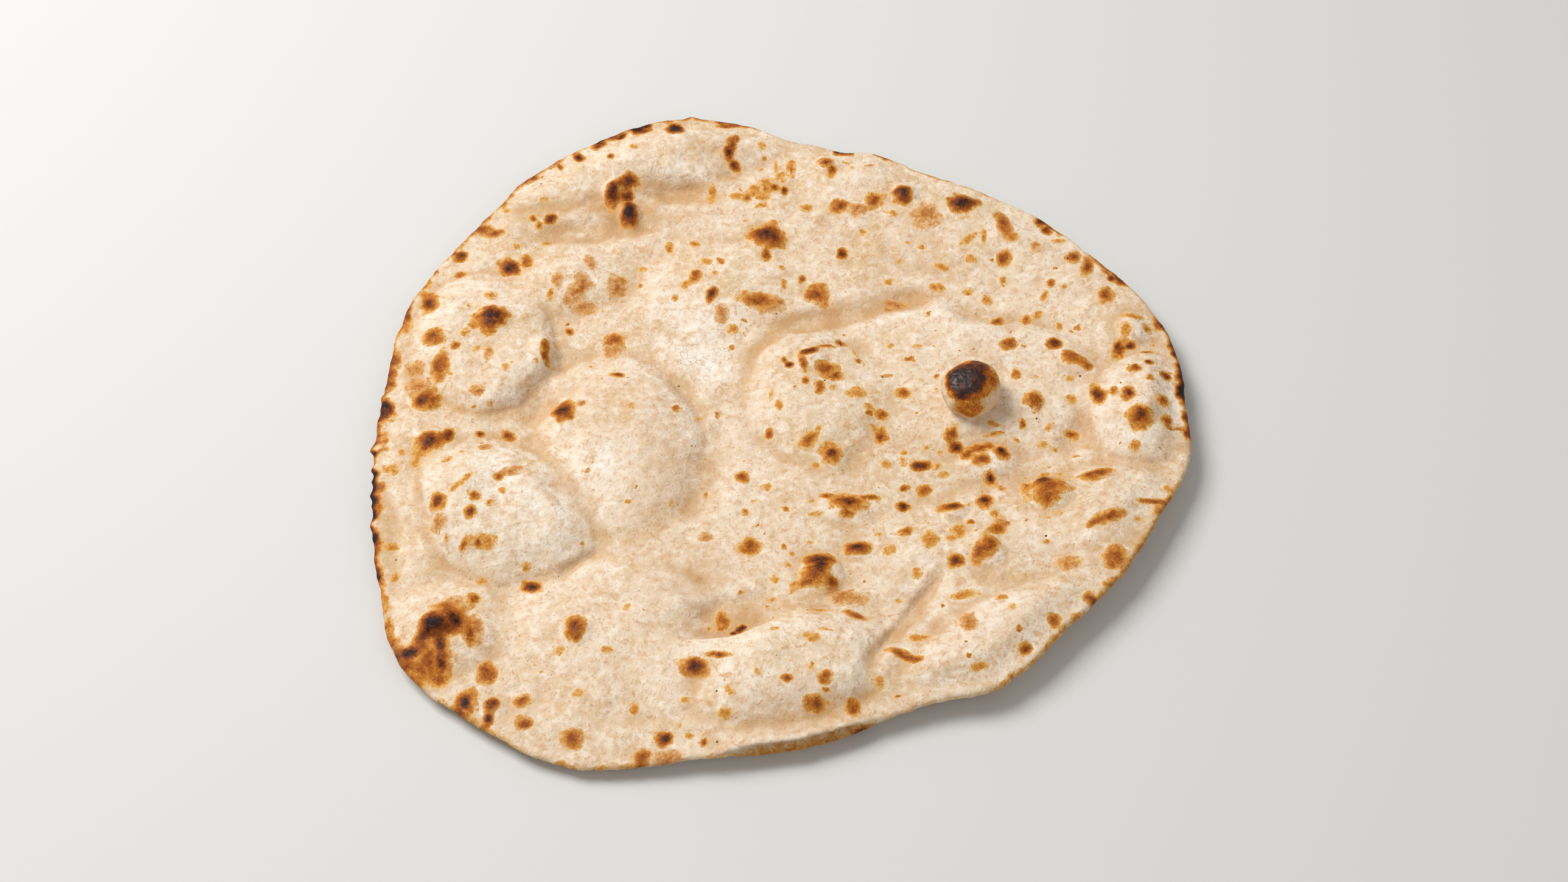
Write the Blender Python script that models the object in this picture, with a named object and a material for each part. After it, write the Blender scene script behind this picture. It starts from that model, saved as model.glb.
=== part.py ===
"""Tandoori roti: one large blistered flatbread, puffed unevenly and lying on its flat middle.

The bread is a single closed solid. Its top skin carries the mounds, valleys, folds, creases and
blisters that baking raised, its underside is flat in the middle and curls up towards the rim, and
the rim is a rounded, slightly craggy edge with one split lip at the front.

Units: metres in Blender. The sizes below are in millimetres and MM turns them into metres.
Frame: +Z up, the origin under the middle of the bread's box, on the surface that it rests on.
+X runs along the longer way across, and the split lip is at the front, at -Y.
"""

import math

import bmesh
import bpy
import numpy as np
from mathutils import Vector, noise

MM = 0.001

# ---------------------------------------------------------------- driving dimensions, millimetres

DOUGH_THICKNESS = 4.2  # from the underside to the top skin where nothing has puffed
THINNEST = 2.4  # the dough is nowhere thinner than this
RIM_THICKNESS = 2.9
RIM_ROUND = 2.0  # how far the rounded edge stands out from the two skins
REST_SHARE = 0.50  # share of the way out to the rim that lies flat on the surface
RELIEF_FADE = 13.0  # the relief dies down over this width inside the rim

# How far the rim is from the middle: (degrees from +X, millimetres).
RIM_REACH = (
    (0, 149.5), (10, 151.0), (20, 147.5), (30, 142.0), (45, 137.0), (65, 131.0), (75, 133.8),
    (79.5, 131.6), (83, 133.0), (90, 136.6), (95, 143.0), (105, 151.0), (120, 153.5), (130, 153.5),
    (140, 150.5), (150, 150.0), (160, 151.0), (175, 148.3), (190, 150.3), (200, 155.0),
    (210, 161.5), (215, 166.2), (220, 168.3), (230, 165.5), (245, 160.0), (255, 148.8),
    (265, 140.5), (275, 136.2), (285, 132.3), (295, 133.7), (300, 137.6), (315, 136.6),
    (330, 140.3), (340, 143.5), (350, 149.8),
)  # fmt: skip

# How far the underside has curled up at the rim: (degrees, millimetres).
RIM_LIFT = (
    (0, 8.0), (30, 6.5), (60, 5.0), (80, 4.5), (100, 6.5), (125, 5.5), (150, 4.5), (170, 5.5),
    (190, 6.0), (210, 4.0), (225, 3.5), (245, 4.0), (262, 5.0), (280, 5.5), (300, 7.0),
    (320, 9.0), (340, 9.5),
)  # fmt: skip

PILLOW_FOOT = 1.12  # 1 gives a mound a sharp foot, and more than 1 a softer one
HOLLOW_FOOT = 1.9  # the same for the brink of a hollow
MERGE = 3.0  # the higher, the less overlapping mounds add up

# Broad mounds: x, y, half length, half width, turn in degrees, height, squareness.
# A squareness of 2 is a soft pillow, and a higher one is flat on top with steep sides.
MOUNDS = (
    (-113, 33, 28, 34, 8, 5.6, 3.4),  # upper left, with a firm lower right edge
    (-100, -43, 37, 30, -28, 6.8, 2.8),  # lower left, steep towards the rim
    (-60, -12, 31, 42, 12, 6.6, 2.2),  # large soft pillow left of the middle
    (12, 8, 26, 31, 14, 4.6, 2.8),  # toasted mound right of the middle
    (73, 13, 48, 35, -4, 3.8, 3.2),  # pale plateau on the right
    (134, 0, 21, 27, -14, 6.2, 3.0),  # mound at the right rim
    (4, -109, 38, 21, 14, 7.4, 2.4),  # rolled mound at the front
    (80, -99, 44, 20, 29, 5.2, 2.5),  # its neighbour on the right of the deep crease
    (-56, -94, 46, 33, -14, 4.4, 2.4),  # broad swelling at the front left
    (-118, -93, 24, 20, 35, 4.0, 2.2),  # scorched corner
    (-58, 122, 66, 17, 14, 4.6, 2.3),  # along the back left rim
    (58, 97, 62, 26, -27, 3.2, 2.2),  # along the back right rim
    (62, -56, 46, 22, 16, 2.8, 2.2),  # low swelling behind the front mounds
    (114, -44, 26, 19, 32, 3.6, 2.2),  # right front
    (-26, 60, 34, 24, 10, 3.2, 2.2),  # between the back valley and the dusty patch
    (-84, 62, 28, 15, 14, 3.0, 2.4),  # behind the upper left mound
)

# Small blisters that sit on the mounds, in the same terms.
BLISTERS = (
    (-89, 26, 6, 9, 8, 3.2, 2.0),
    (-60, 96, 5, 8, 10, 3.4, 2.2),
    (-67, 106, 5, 6, -20, 3.0, 2.0),
    (-6, 84, 9, 7, -8, 2.4, 2.0),
    (-110, 40, 8, 7.5, 0, 1.6, 2.0),
    (-81, -6, 7, 8, 0, 1.4, 2.0),
    (-127, -14, 9, 7, 0, 1.6, 2.0),
    (-132, 6, 8, 8, 40, 1.6, 2.0),
    (-119, -92, 7.5, 6, 20, 3.2, 2.2),
    (-128, -104, 6, 5, 0, 2.6, 2.2),
    (-105, -123, 5, 5, 0, 1.6, 2.0),
    (-97, -124, 4, 5, 0, 1.4, 2.0),
    (-71, -95, 6, 6, 0, 1.6, 2.0),
    (-29, -108, 8, 6, 0, 1.4, 2.0),
    (14, -69, 9, 9, 0, 3.6, 2.1),
    (22, -41, 11, 6, -5, 2.0, 2.0),
    (19, -21, 6, 5.5, 0, 1.8, 2.0),
    (27, -60, 6, 4, 0, 1.8, 2.0),
    (75, -22, 12, 8, 8, 3.6, 2.0),
    (96, -37, 10, 8.5, 0, 4.2, 2.1),
    (72, -60, 7, 10, 30, 3.0, 2.0),
    (62, -44, 6, 4, 25, 1.8, 2.0),
    (114, -30, 9, 5, 5, 1.8, 2.0),
    (118, -66, 7, 6, -20, 2.2, 2.0),
    (134, 37, 8, 8, 0, 3.6, 2.0),
    (131, -6, 7, 7, 0, 2.2, 2.0),
    (111, 22, 9, 4.5, -35, 2.0, 2.0),
    (93, 3, 5, 5, 0, 1.8, 2.0),
    (49, 105, 6, 5, 0, 1.8, 2.0),
    (72, 101, 6, 5, 20, 2.0, 2.0),
    (18, 121, 6, 6, 0, 1.8, 2.0),
    (11, 23, 7, 6, 20, 2.2, 2.0),
)

# Sunken places: x, y, half length, half width, turn in degrees, depth, squareness.
HOLLOWS = (
    (-76, 87, 32, 9, 8, 2.6, 2.0),  # valley across the back left
    (-42, 109, 26, 8, -8, 2.6, 2.0),  # its right end
    (16, 46, 26, 8, 12, 2.2, 2.0),  # shaded valley behind the toasted mound
    (48, 56, 18, 7, 4, 2.2, 2.0),  # and behind the plateau
    (-141, -53, 30, 8, 101, 2.6, 2.0),  # shelf between the lower left mound and the rim
    (-18, -86, 26, 11, 14, 4.2, 2.0),  # dent behind the rolled mound
    (-27, -26, 32, 11, 74, 1.8, 2.0),  # dip right of the large pillow
    (31, -107, 17, 6, 76, 1.8, 2.0),  # trough on the left of the deep crease
    (-15, -92, 6, 3.5, 20, 3.4, 2.0),  # hole of a burst blister in the dent
    (-85, 6, 22, 7, 42, 1.8, 2.0),  # between the upper left mound and the pillow
    (107, -12, 13, 8, 66, 1.4, 2.0),  # left of the right mound
)

# Folds: height, width of the steep side, width of the gentle side, then the points of the crest.
# The steep side is on the left of the way the points run.
FOLDS = (
    (2.2, 3.5, 14.0, ((-7, 22), (-4, 30), (5, 35), (16, 36), (26, 33))),
    (2.4, 3.5, 16.0, ((26, 34), (34, 42), (46, 46), (60, 47), (69, 40), (87, 37), (108, 35))),
    (1.8, 3.5, 12.0, ((24, 33), (31, 22), (34, 12), (36, 2), (39, -7))),
    (3.4, 4.0, 15.0, ((-36, -102), (-18, -98), (-8, -92), (9, -87), (23, -87), (34, -94))),
    (2.8, 3.2, 18.0, ((-112, -67), (-120, -55), (-124, -45), (-127, -35), (-128, -26))),
    (2.0, 3.5, 13.0, ((-94, -27), (-86, -39), (-78, -50), (-71, -58))),
    (1.5, 4.0, 16.0, ((-60, 26), (-49, 17), (-41, 7), (-34, -6), (-29, -20))),
    (2.0, 4.0, 15.0, ((50, -84), (61, -78), (73, -79), (85, -86))),
    (2.4, 4.0, 15.0, ((126, -27), (120, -14), (116, -3), (115, 8), (121, 20))),
    (2.6, 3.2, 12.0, ((-90, 38), (-90, 28), (-91, 20), (-97, 13), (-100, 7), (-106, 4), (-115, 4))),
    (1.1, 3.0, 7.0, ((58, 72), (55, 61), (59, 53), (67, 49), (73, 42))),
)

# Creases and cracks: depth, half width, then their points.
CREASES = (
    (3.2, 2.2, ((57, -69), (50, -79), (43, -90), (36, -98), (31, -107))),
    (2.6, 2.8, ((-36, -96), (-25, -94), (-15, -91), (-5, -87))),
    (2.2, 2.0, ((-64, -59), (-70, -63), (-75, -67), (-79, -73))),
    (1.6, 2.0, ((-131, -30), (-130, -38), (-127, -45), (-124, -53), (-119, -60))),
)

# The knob: a blister that swelled into a ball with a narrower neck.
KNOB_CENTRE = (70.0, 5.0)
KNOB_RADIUS = 11.2
KNOB_FLATTEN = 0.84  # its height is this share of a true ball's
KNOB_NECK_ANGLE = 36.0  # degrees below its widest line where the neck begins
KNOB_NECK_HEIGHT = 0.12  # the neck's height as a share of the ball's radius
KNOB_FOOT = 15.5  # radius of the skin that stretched into it
KNOB_COLLAR_START = 0.76  # share of that skin that forms the ball, the rest is the collar

# The split lip: the lower skin stands out past the lifted top skin.
LIP_MIDDLE = 273.0
LIP_HALF_WIDTH = 13.0
LIP_FULL_SHARE = 0.45  # share of its half width along which it is fully open
LIP_STAND_OUT = 2.4
LIP_GAP = 2.6
LIP_GAP_LEVEL = 0.55  # how far up the rim's edge the gap lies, where 1 is the top skin
LIP_GAP_HEIGHT = 0.12  # half the gap's height on the same scale
LIP_LOWER_LEVEL = 0.45  # the lower skin's share of the rim's edge
LIP_TOP_LIFT = 1.6

# Crags on the rim, most of them charred and on the left: degrees, how far they stand out, and half
# width in degrees.
RIM_CRAGS = (
    (186.8, 1.8, 0.7), (190.1, 0.8, 0.5), (192.0, 0.6, 0.4), (194.1, 0.8, 0.5), (195.8, 0.5, 0.4),
    (198.5, 0.7, 0.7), (204.0, 0.5, 0.6), (177.7, 0.7, 0.6), (104.0, 1.2, 1.0),
)  # fmt: skip

# Irregular lumps, as (millimetres across, how high they stand) pairs.
SKIN_LUMPS = ((26.0, 0.9), (11.0, 0.55), (5.0, 0.22))
UNDERSIDE_LUMPS = ((34.0, 1.6), (12.0, 0.5))
RIM_LUMPS = ((9.0, 0.65), (3.0, 0.38))
KNOB_LUMPS = ((8.0, 0.055), (4.5, 0.06))  # heights as shares of the ball's radius
SKIN_SEED = 3.0
RIM_SEED = 50.0
UNDERSIDE_SEED = 80.0
KNOB_SEED = 120.0
NEXT_SEED = 10.0  # from one size of lumps to the next

RIM_RELIEF = 0.25  # share of the top skin's relief that is left at the rim
CURL_END = 1.25  # the underside's curl would level out at this share of the way out
WAVY_RISE = 0.25  # past the flat middle the underside turns wavy over this share of the way out
FADE_MARGIN = 0.02  # share of a fold or crease at each of its ends that stays faintest
FADE_POWER = 0.6  # the lower, the shorter the fading ends of folds and creases

# ---------------------------------------------------------------- how finely it is drawn

GRID = 144  # squares along each side of the sheet that becomes a skin
GATHER_PULL = 0.55  # how much the sheet's squares are drawn in round the knob
GATHER_REACH = 26.0  # and how far around it
RIM_CUTS = 5  # loops round the rounded rim between the skins
LEVEL_SLACK = 0.001  # the sheet's two faces are told from the loops between them within this
FACETS = 11400  # triangles left in the finished solid

# ---------------------------------------------------------------- colour

CRUST_COLOUR = (0.72, 0.55, 0.36, 1.0)
CRUST_ROUGHNESS = 0.85


def smooth(value, low, high):
    """0 below low, 1 above high, and an S-shaped rise between them."""
    share = np.clip((value - low) / (high - low), 0.0, 1.0)
    return share * share * (3.0 - 2.0 * share)


def round_curve(knots, degrees):
    """Reads the closed smooth curve through (degrees, value) knots at an array of degrees."""
    at = np.array([knot[0] for knot in knots], float)
    value = np.array([knot[1] for knot in knots], float)
    at = np.concatenate((at - 360.0, at, at + 360.0))
    value = np.tile(value, 3)
    slope = np.gradient(value, at)
    degrees = np.mod(degrees, 360.0)
    left = np.searchsorted(at, degrees, side="right") - 1
    span = at[left + 1] - at[left]
    t = (degrees - at[left]) / span
    start = (2 * t**3 - 3 * t**2 + 1) * value[left] + (t**3 - 2 * t**2 + t) * span * slope[left]
    end = (3 * t**2 - 2 * t**3) * value[left + 1] + (t**3 - t**2) * span * slope[left + 1]
    return start + end


def angle_apart(degrees, middle):
    """How far an angle is from a middle one, the short way round."""
    return np.mod(degrees - middle + 180.0, 360.0) - 180.0


def lumps(x, y, sizes, seed):
    """Soft irregular lumps, given as (size across, height) pairs."""
    total = np.zeros_like(x)
    for size, height in sizes:
        wave = [noise.noise(Vector((a / size, b / size, seed))) for a, b in zip(x, y)]
        total += height * np.array(wave)
        seed += NEXT_SEED
    return total


def pillow(x, y, form, foot=PILLOW_FOOT):
    """The height of one mound or blister, or the depth of a hollow, at the points x, y."""
    middle_x, middle_y, half_length, half_width, turn, height, squareness = form
    c = math.cos(math.radians(turn))
    s = math.sin(math.radians(turn))
    along = ((x - middle_x) * c + (y - middle_y) * s) / half_length
    across = ((y - middle_y) * c - (x - middle_x) * s) / half_width
    away = np.sqrt(along**2 + across**2)
    return height * np.clip(1.0 - away**squareness, 0.0, 1.0) ** foot


def beside_path(x, y, points):
    """The distance to a path, positive on its left, and how far along it from 0 to 1."""
    nearest = np.full_like(x, np.inf)
    signed = np.zeros_like(x)
    along = np.zeros_like(x)
    steps = len(points) - 1
    for step in range(steps):
        start = np.array(points[step], float)
        run = np.array(points[step + 1], float) - start
        share = ((x - start[0]) * run[0] + (y - start[1]) * run[1]) / run.dot(run)
        share = np.clip(share, 0.0, 1.0)
        dx = x - start[0] - share * run[0]
        dy = y - start[1] - share * run[1]
        distance = np.hypot(dx, dy)
        closer = distance < nearest
        side = np.where(run[0] * dy - run[1] * dx >= 0.0, 1.0, -1.0)
        nearest = np.where(closer, distance, nearest)
        signed = np.where(closer, side * distance, signed)
        along = np.where(closer, (step + share) / steps, along)
    return signed, along


def fading_ends(along):
    """1 along the middle of a path, falling to 0 at both of its ends."""
    return np.sin(math.pi * np.clip(along, FADE_MARGIN, 1.0 - FADE_MARGIN)) ** FADE_POWER


def relief(x, y):
    """How far the top skin stands above the plain thickness of dough."""
    mounds = np.zeros_like(x)
    for mound in MOUNDS:
        mounds += pillow(x, y, mound) ** MERGE
    height = mounds ** (1.0 / MERGE)
    for blister in BLISTERS:
        height += pillow(x, y, blister)
    for hollow in HOLLOWS:
        height -= pillow(x, y, hollow, HOLLOW_FOOT)
    for tall, steep, gentle, points in FOLDS:
        signed, along = beside_path(x, y, points)
        width = np.where(signed > 0.0, steep, gentle)
        height += tall * np.exp(-((signed / width) ** 2)) * fading_ends(along)
    for depth, half_width, points in CREASES:
        signed, along = beside_path(x, y, points)
        height -= depth * np.exp(-((signed / half_width) ** 2)) * fading_ends(along)
    return height + lumps(x, y, SKIN_LUMPS, SKIN_SEED)


def rim_reach(degrees):
    """The distance from the middle to the rim, with its small crags."""
    reach = round_curve(RIM_REACH, degrees)
    x = reach * np.cos(np.radians(degrees))
    y = reach * np.sin(np.radians(degrees))
    reach = reach + lumps(x, y, RIM_LUMPS, RIM_SEED)
    for where, stand_out, half_width in RIM_CRAGS:
        reach = reach + stand_out * np.exp(-((angle_apart(degrees, where) / half_width) ** 2))
    return reach


def underside(x, y, share, degrees):
    """The height of the underside: flat on the table, then curling up to the rim."""
    curl = smooth(share, REST_SHARE, CURL_END) / smooth(np.ones(1), REST_SHARE, CURL_END)
    wavy = smooth(share, REST_SHARE, REST_SHARE + WAVY_RISE)
    uneven = lumps(x, y, UNDERSIDE_LUMPS, UNDERSIDE_SEED)
    return np.maximum(round_curve(RIM_LIFT, degrees) * curl + wavy * uneven, 0.0)


def lip(degrees):
    """1 in the middle of the split lip and 0 away from it."""
    apart = np.abs(angle_apart(degrees, LIP_MIDDLE))
    return 1.0 - smooth(apart, LIP_FULL_SHARE * LIP_HALF_WIDTH, LIP_HALF_WIDTH)


def skin_heights(x, y, share, degrees):
    """The heights of the underside and of the top skin at the points x, y."""
    low = underside(x, y, share, degrees)
    inside = (1.0 - share) * rim_reach(degrees)
    near_rim = smooth(inside, 0.0, RELIEF_FADE)
    dough = RIM_THICKNESS + (DOUGH_THICKNESS - RIM_THICKNESS) * near_rim
    lifted_lip = LIP_TOP_LIFT * lip(degrees) * (1.0 - near_rim)
    share_of_relief = RIM_RELIEF + (1.0 - RIM_RELIEF) * near_rim
    high = low + dough + relief(x, y) * share_of_relief + lifted_lip
    return low, np.maximum(high, low + THINNEST)


def square_to_round(u, v):
    """Turns places in the square sheet into (share of the way out, degrees)."""
    share = np.maximum(np.abs(u), np.abs(v))
    sideways = np.abs(u) >= np.abs(v)
    across = 45.0 * v / np.where(sideways & (u != 0.0), u, 1.0)
    upward = 90.0 - 45.0 * u / np.where(~sideways, v, 1.0)
    degrees = np.where(sideways, across, upward)
    behind = np.where(sideways, u < 0.0, v < 0.0)
    return share, degrees + 180.0 * behind


def gathered(x, y):
    """Draws the sheet's points in towards the knob. Returns their places, shares and degrees."""
    dx = x - KNOB_CENTRE[0]
    dy = y - KNOB_CENTRE[1]
    pull = GATHER_PULL * np.exp(-(dx**2 + dy**2) / GATHER_REACH**2)
    x = x - dx * pull
    y = y - dy * pull
    degrees = np.degrees(np.arctan2(y, x))
    share = np.hypot(x, y) / (rim_reach(degrees) - RIM_ROUND)
    return x, y, np.clip(share, 0.0, 1.0), degrees


def swell_knob(x, y, high):
    """Moves the top skin round the knob's centre onto the ball, its neck and its collar."""
    dx = x - KNOB_CENTRE[0]
    dy = y - KNOB_CENTRE[1]
    distance = np.hypot(dx, dy)
    stretched = distance < KNOB_FOOT
    share = distance[stretched] / KNOB_FOOT
    around = np.arctan2(dy[stretched], dx[stretched])
    knobbly = lumps(x[stretched], y[stretched], KNOB_LUMPS, KNOB_SEED)
    radius = KNOB_RADIUS * (1.0 + knobbly)
    on_ball = np.clip(share / KNOB_COLLAR_START, 0.0, 1.0)
    tilt = np.radians(90.0 - (90.0 + KNOB_NECK_ANGLE) * on_ball)
    neck_drop = KNOB_FLATTEN * math.sin(math.radians(KNOB_NECK_ANGLE))
    rise = radius * (KNOB_FLATTEN * np.sin(tilt) + neck_drop + KNOB_NECK_HEIGHT)
    collar = smooth(share, KNOB_COLLAR_START, 1.0)
    reach = radius * np.cos(tilt) * (1.0 - collar) + KNOB_FOOT * collar
    seat = high[stretched].mean() * (1.0 - share**2) + high[stretched] * share**2
    x[stretched] = KNOB_CENTRE[0] + reach * np.cos(around)
    y[stretched] = KNOB_CENTRE[1] + reach * np.sin(around)
    high[stretched] = seat + rise * (1.0 - collar)


def sheet_with_edge():
    """A square sheet drawn into a slab: its height, from 0 to 1, tells the skins and rim loops apart."""
    mesh = bmesh.new()
    bmesh.ops.create_grid(mesh, x_segments=GRID, y_segments=GRID, size=1.0)
    grown = bmesh.ops.extrude_face_region(mesh, geom=mesh.faces[:], use_keep_orig=True)["geom"]
    raised = [item for item in grown if isinstance(item, bmesh.types.BMVert)]
    bmesh.ops.translate(mesh, vec=(0.0, 0.0, 1.0), verts=raised)
    standing = [edge for edge in mesh.edges if abs(edge.verts[0].co.z - edge.verts[1].co.z) > 0.5]
    bmesh.ops.subdivide_edges(mesh, edges=standing, cuts=RIM_CUTS)
    return mesh


def shape_bread(mesh):
    """Moves every point of the slab onto the bread."""
    places = np.array([vert.co for vert in mesh.verts], float)
    level = places[:, 2]
    share, degrees = square_to_round(places[:, 0], places[:, 1])
    skin_reach = (rim_reach(degrees) - RIM_ROUND) * share
    x = skin_reach * np.cos(np.radians(degrees))
    y = skin_reach * np.sin(np.radians(degrees))
    x, y, share, degrees = gathered(x, y)
    low, high = skin_heights(x, y, share, degrees)

    top = level > 1.0 - LEVEL_SLACK
    bottom = level < LEVEL_SLACK
    z = np.where(bottom, low, high)
    top_x, top_y, top_z = x[top], y[top], z[top]
    swell_knob(top_x, top_y, top_z)
    x[top], y[top], z[top] = top_x, top_y, top_z

    rim = ~top & ~bottom
    arc = math.pi * (level[rim] - 0.5)
    split = lip(degrees[rim])
    lower_skin = level[rim] < LIP_LOWER_LEVEL
    gap = np.exp(-(((level[rim] - LIP_GAP_LEVEL) / LIP_GAP_HEIGHT) ** 2))
    out = RIM_ROUND * np.cos(arc)
    out += split * LIP_STAND_OUT * np.where(lower_skin, 1.0 - level[rim], 0.0)
    out -= split * LIP_GAP * gap
    x[rim] += out * np.cos(np.radians(degrees[rim]))
    y[rim] += out * np.sin(np.radians(degrees[rim]))
    z[rim] = 0.5 * (low[rim] + high[rim]) + 0.5 * (high[rim] - low[rim]) * np.sin(arc)

    for vert, a, b, c in zip(mesh.verts, x, y, z):
        vert.co = (a * MM, b * MM, c * MM)


def crust_material():
    """Baked wheat crust: pale, dry and matt."""
    material = bpy.data.materials.new("baked_wheat_crust")
    material.use_nodes = True
    finish = material.node_tree.nodes["Principled BSDF"]
    finish.inputs["Base Color"].default_value = CRUST_COLOUR
    finish.inputs["Roughness"].default_value = CRUST_ROUGHNESS
    finish.inputs["Metallic"].default_value = 0.0
    return material


def thinned(bread):
    """Collapses the dense skin to FACETS triangles, which stay small where the relief is sharp."""
    triangles = sum(len(face.vertices) - 2 for face in bread.data.polygons)
    collapse = bread.modifiers.new("fewer facets", "DECIMATE")
    collapse.ratio = FACETS / triangles
    collapse.use_collapse_triangulate = True
    view = bpy.context.evaluated_depsgraph_get()
    fewer = bpy.data.meshes.new_from_object(bread.evaluated_get(view))
    bread.modifiers.remove(collapse)
    return fewer


def centred(shape):
    """Moves a mesh so that its box stands on the origin."""
    places = np.empty(len(shape.vertices) * 3)
    shape.vertices.foreach_get("co", places)
    places = places.reshape(-1, 3)
    places[:, :2] -= 0.5 * (places[:, :2].min(axis=0) + places[:, :2].max(axis=0))
    shape.vertices.foreach_set("co", places.ravel())
    shape.update()
    return shape


def make_roti():
    """Makes the whole bread as one named object."""
    mesh = sheet_with_edge()
    shape_bread(mesh)
    bmesh.ops.recalc_face_normals(mesh, faces=mesh.faces[:])
    shape = bpy.data.meshes.new("roti")
    mesh.to_mesh(shape)
    mesh.free()
    bread = bpy.data.objects.new("roti", shape)
    bpy.context.scene.collection.objects.link(bread)
    bread.data = centred(thinned(bread))
    bread.data.name = "roti"
    bread.data.materials.append(crust_material())
    bread.data.shade_smooth()


for old in list(bpy.data.objects):
    bpy.data.objects.remove(old, do_unlink=True)

make_roti()
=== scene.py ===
"""Looks of the tandoori roti: a dense baked skin over the plain solid, studio floor, light and camera.

Sizes and places are in millimetres in the bread's own frame and MM turns them into metres.
The broad relief repeats the solid's named values. The finer relief, the scorch marks, the flour
dust, the toasted rim, painted shade in the valleys and painted light on the crests are added here.
"""

import math
import random

import bmesh
import bpy
import numpy as np
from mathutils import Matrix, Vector, noise


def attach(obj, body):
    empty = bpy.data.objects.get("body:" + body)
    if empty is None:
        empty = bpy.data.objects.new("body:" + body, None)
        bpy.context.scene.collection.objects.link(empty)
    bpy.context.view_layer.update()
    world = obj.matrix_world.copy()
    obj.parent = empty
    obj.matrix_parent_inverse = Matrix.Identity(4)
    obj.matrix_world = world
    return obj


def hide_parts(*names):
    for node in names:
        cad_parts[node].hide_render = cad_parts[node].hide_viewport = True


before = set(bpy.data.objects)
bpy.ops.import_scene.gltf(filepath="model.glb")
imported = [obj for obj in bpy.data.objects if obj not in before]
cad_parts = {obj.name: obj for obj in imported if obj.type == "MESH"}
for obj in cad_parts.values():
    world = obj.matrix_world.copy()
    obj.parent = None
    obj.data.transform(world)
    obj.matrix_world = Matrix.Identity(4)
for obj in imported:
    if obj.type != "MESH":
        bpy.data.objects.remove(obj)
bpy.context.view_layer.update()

MM = 0.001

# ---------------------------------------------------------------- broad form, as in the solid

DOUGH_THICKNESS = 4.2  # from the underside to the top skin where nothing has puffed
THINNEST = 2.4  # the dough is nowhere thinner than this
RIM_THICKNESS = 2.9
RIM_ROUND = 2.0  # how far the rounded edge stands out from the two skins
REST_SHARE = 0.50  # share of the way out to the rim that lies flat on the surface
RELIEF_FADE = 13.0  # the relief dies down over this width inside the rim

# How far the rim is from the middle: (degrees from +X, millimetres).
RIM_REACH = (
    (0, 149.5), (10, 151.0), (20, 147.5), (30, 142.0), (45, 137.0), (65, 131.0), (75, 133.8),
    (79.5, 131.6), (83, 133.0), (90, 136.6), (95, 143.0), (105, 151.0), (120, 153.5), (130, 153.5),
    (140, 150.5), (150, 150.0), (160, 151.0), (175, 148.3), (190, 150.3), (200, 155.0),
    (210, 161.5), (215, 166.2), (220, 168.3), (230, 165.5), (245, 160.0), (255, 148.8),
    (265, 140.5), (275, 136.2), (285, 132.3), (295, 133.7), (300, 137.6), (315, 136.6),
    (330, 140.3), (340, 143.5), (350, 149.8),
)  # fmt: skip

# How far the underside has curled up at the rim: (degrees, millimetres).
RIM_LIFT = (
    (0, 8.0), (30, 6.5), (60, 5.0), (80, 4.5), (100, 6.5), (125, 5.5), (150, 4.5), (170, 5.5),
    (190, 6.0), (210, 4.0), (225, 3.5), (245, 4.0), (262, 5.0), (280, 5.5), (300, 7.0),
    (320, 9.0), (340, 9.5),
)  # fmt: skip

PILLOW_FOOT = 1.12  # 1 gives a mound a sharp foot, and more than 1 a softer one
HOLLOW_FOOT = 1.9  # the same for the brink of a hollow
MERGE = 3.0  # the higher, the less overlapping mounds add up

# Broad mounds: x, y, half length, half width, turn in degrees, height, squareness.
# A squareness of 2 is a soft pillow, and a higher one is flat on top with steep sides.
MOUNDS = (
    (-113, 33, 28, 34, 8, 5.6, 3.4),  # upper left, with a firm lower right edge
    (-100, -43, 37, 30, -28, 6.8, 2.8),  # lower left, steep towards the rim
    (-60, -12, 31, 42, 12, 6.6, 2.2),  # large soft pillow left of the middle
    (12, 8, 26, 31, 14, 4.6, 2.8),  # toasted mound right of the middle
    (73, 13, 48, 35, -4, 3.8, 3.2),  # pale plateau on the right
    (134, 0, 21, 27, -14, 6.2, 3.0),  # mound at the right rim
    (4, -109, 38, 21, 14, 7.4, 2.4),  # rolled mound at the front
    (80, -99, 44, 20, 29, 5.2, 2.5),  # its neighbour on the right of the deep crease
    (-56, -94, 46, 33, -14, 4.4, 2.4),  # broad swelling at the front left
    (-118, -93, 24, 20, 35, 4.0, 2.2),  # scorched corner
    (-58, 122, 66, 17, 14, 4.6, 2.3),  # along the back left rim
    (58, 97, 62, 26, -27, 3.2, 2.2),  # along the back right rim
    (62, -56, 46, 22, 16, 2.8, 2.2),  # low swelling behind the front mounds
    (114, -44, 26, 19, 32, 3.6, 2.2),  # right front
    (-26, 60, 34, 24, 10, 3.2, 2.2),  # between the back valley and the dusty patch
    (-84, 62, 28, 15, 14, 3.0, 2.4),  # behind the upper left mound
)

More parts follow.
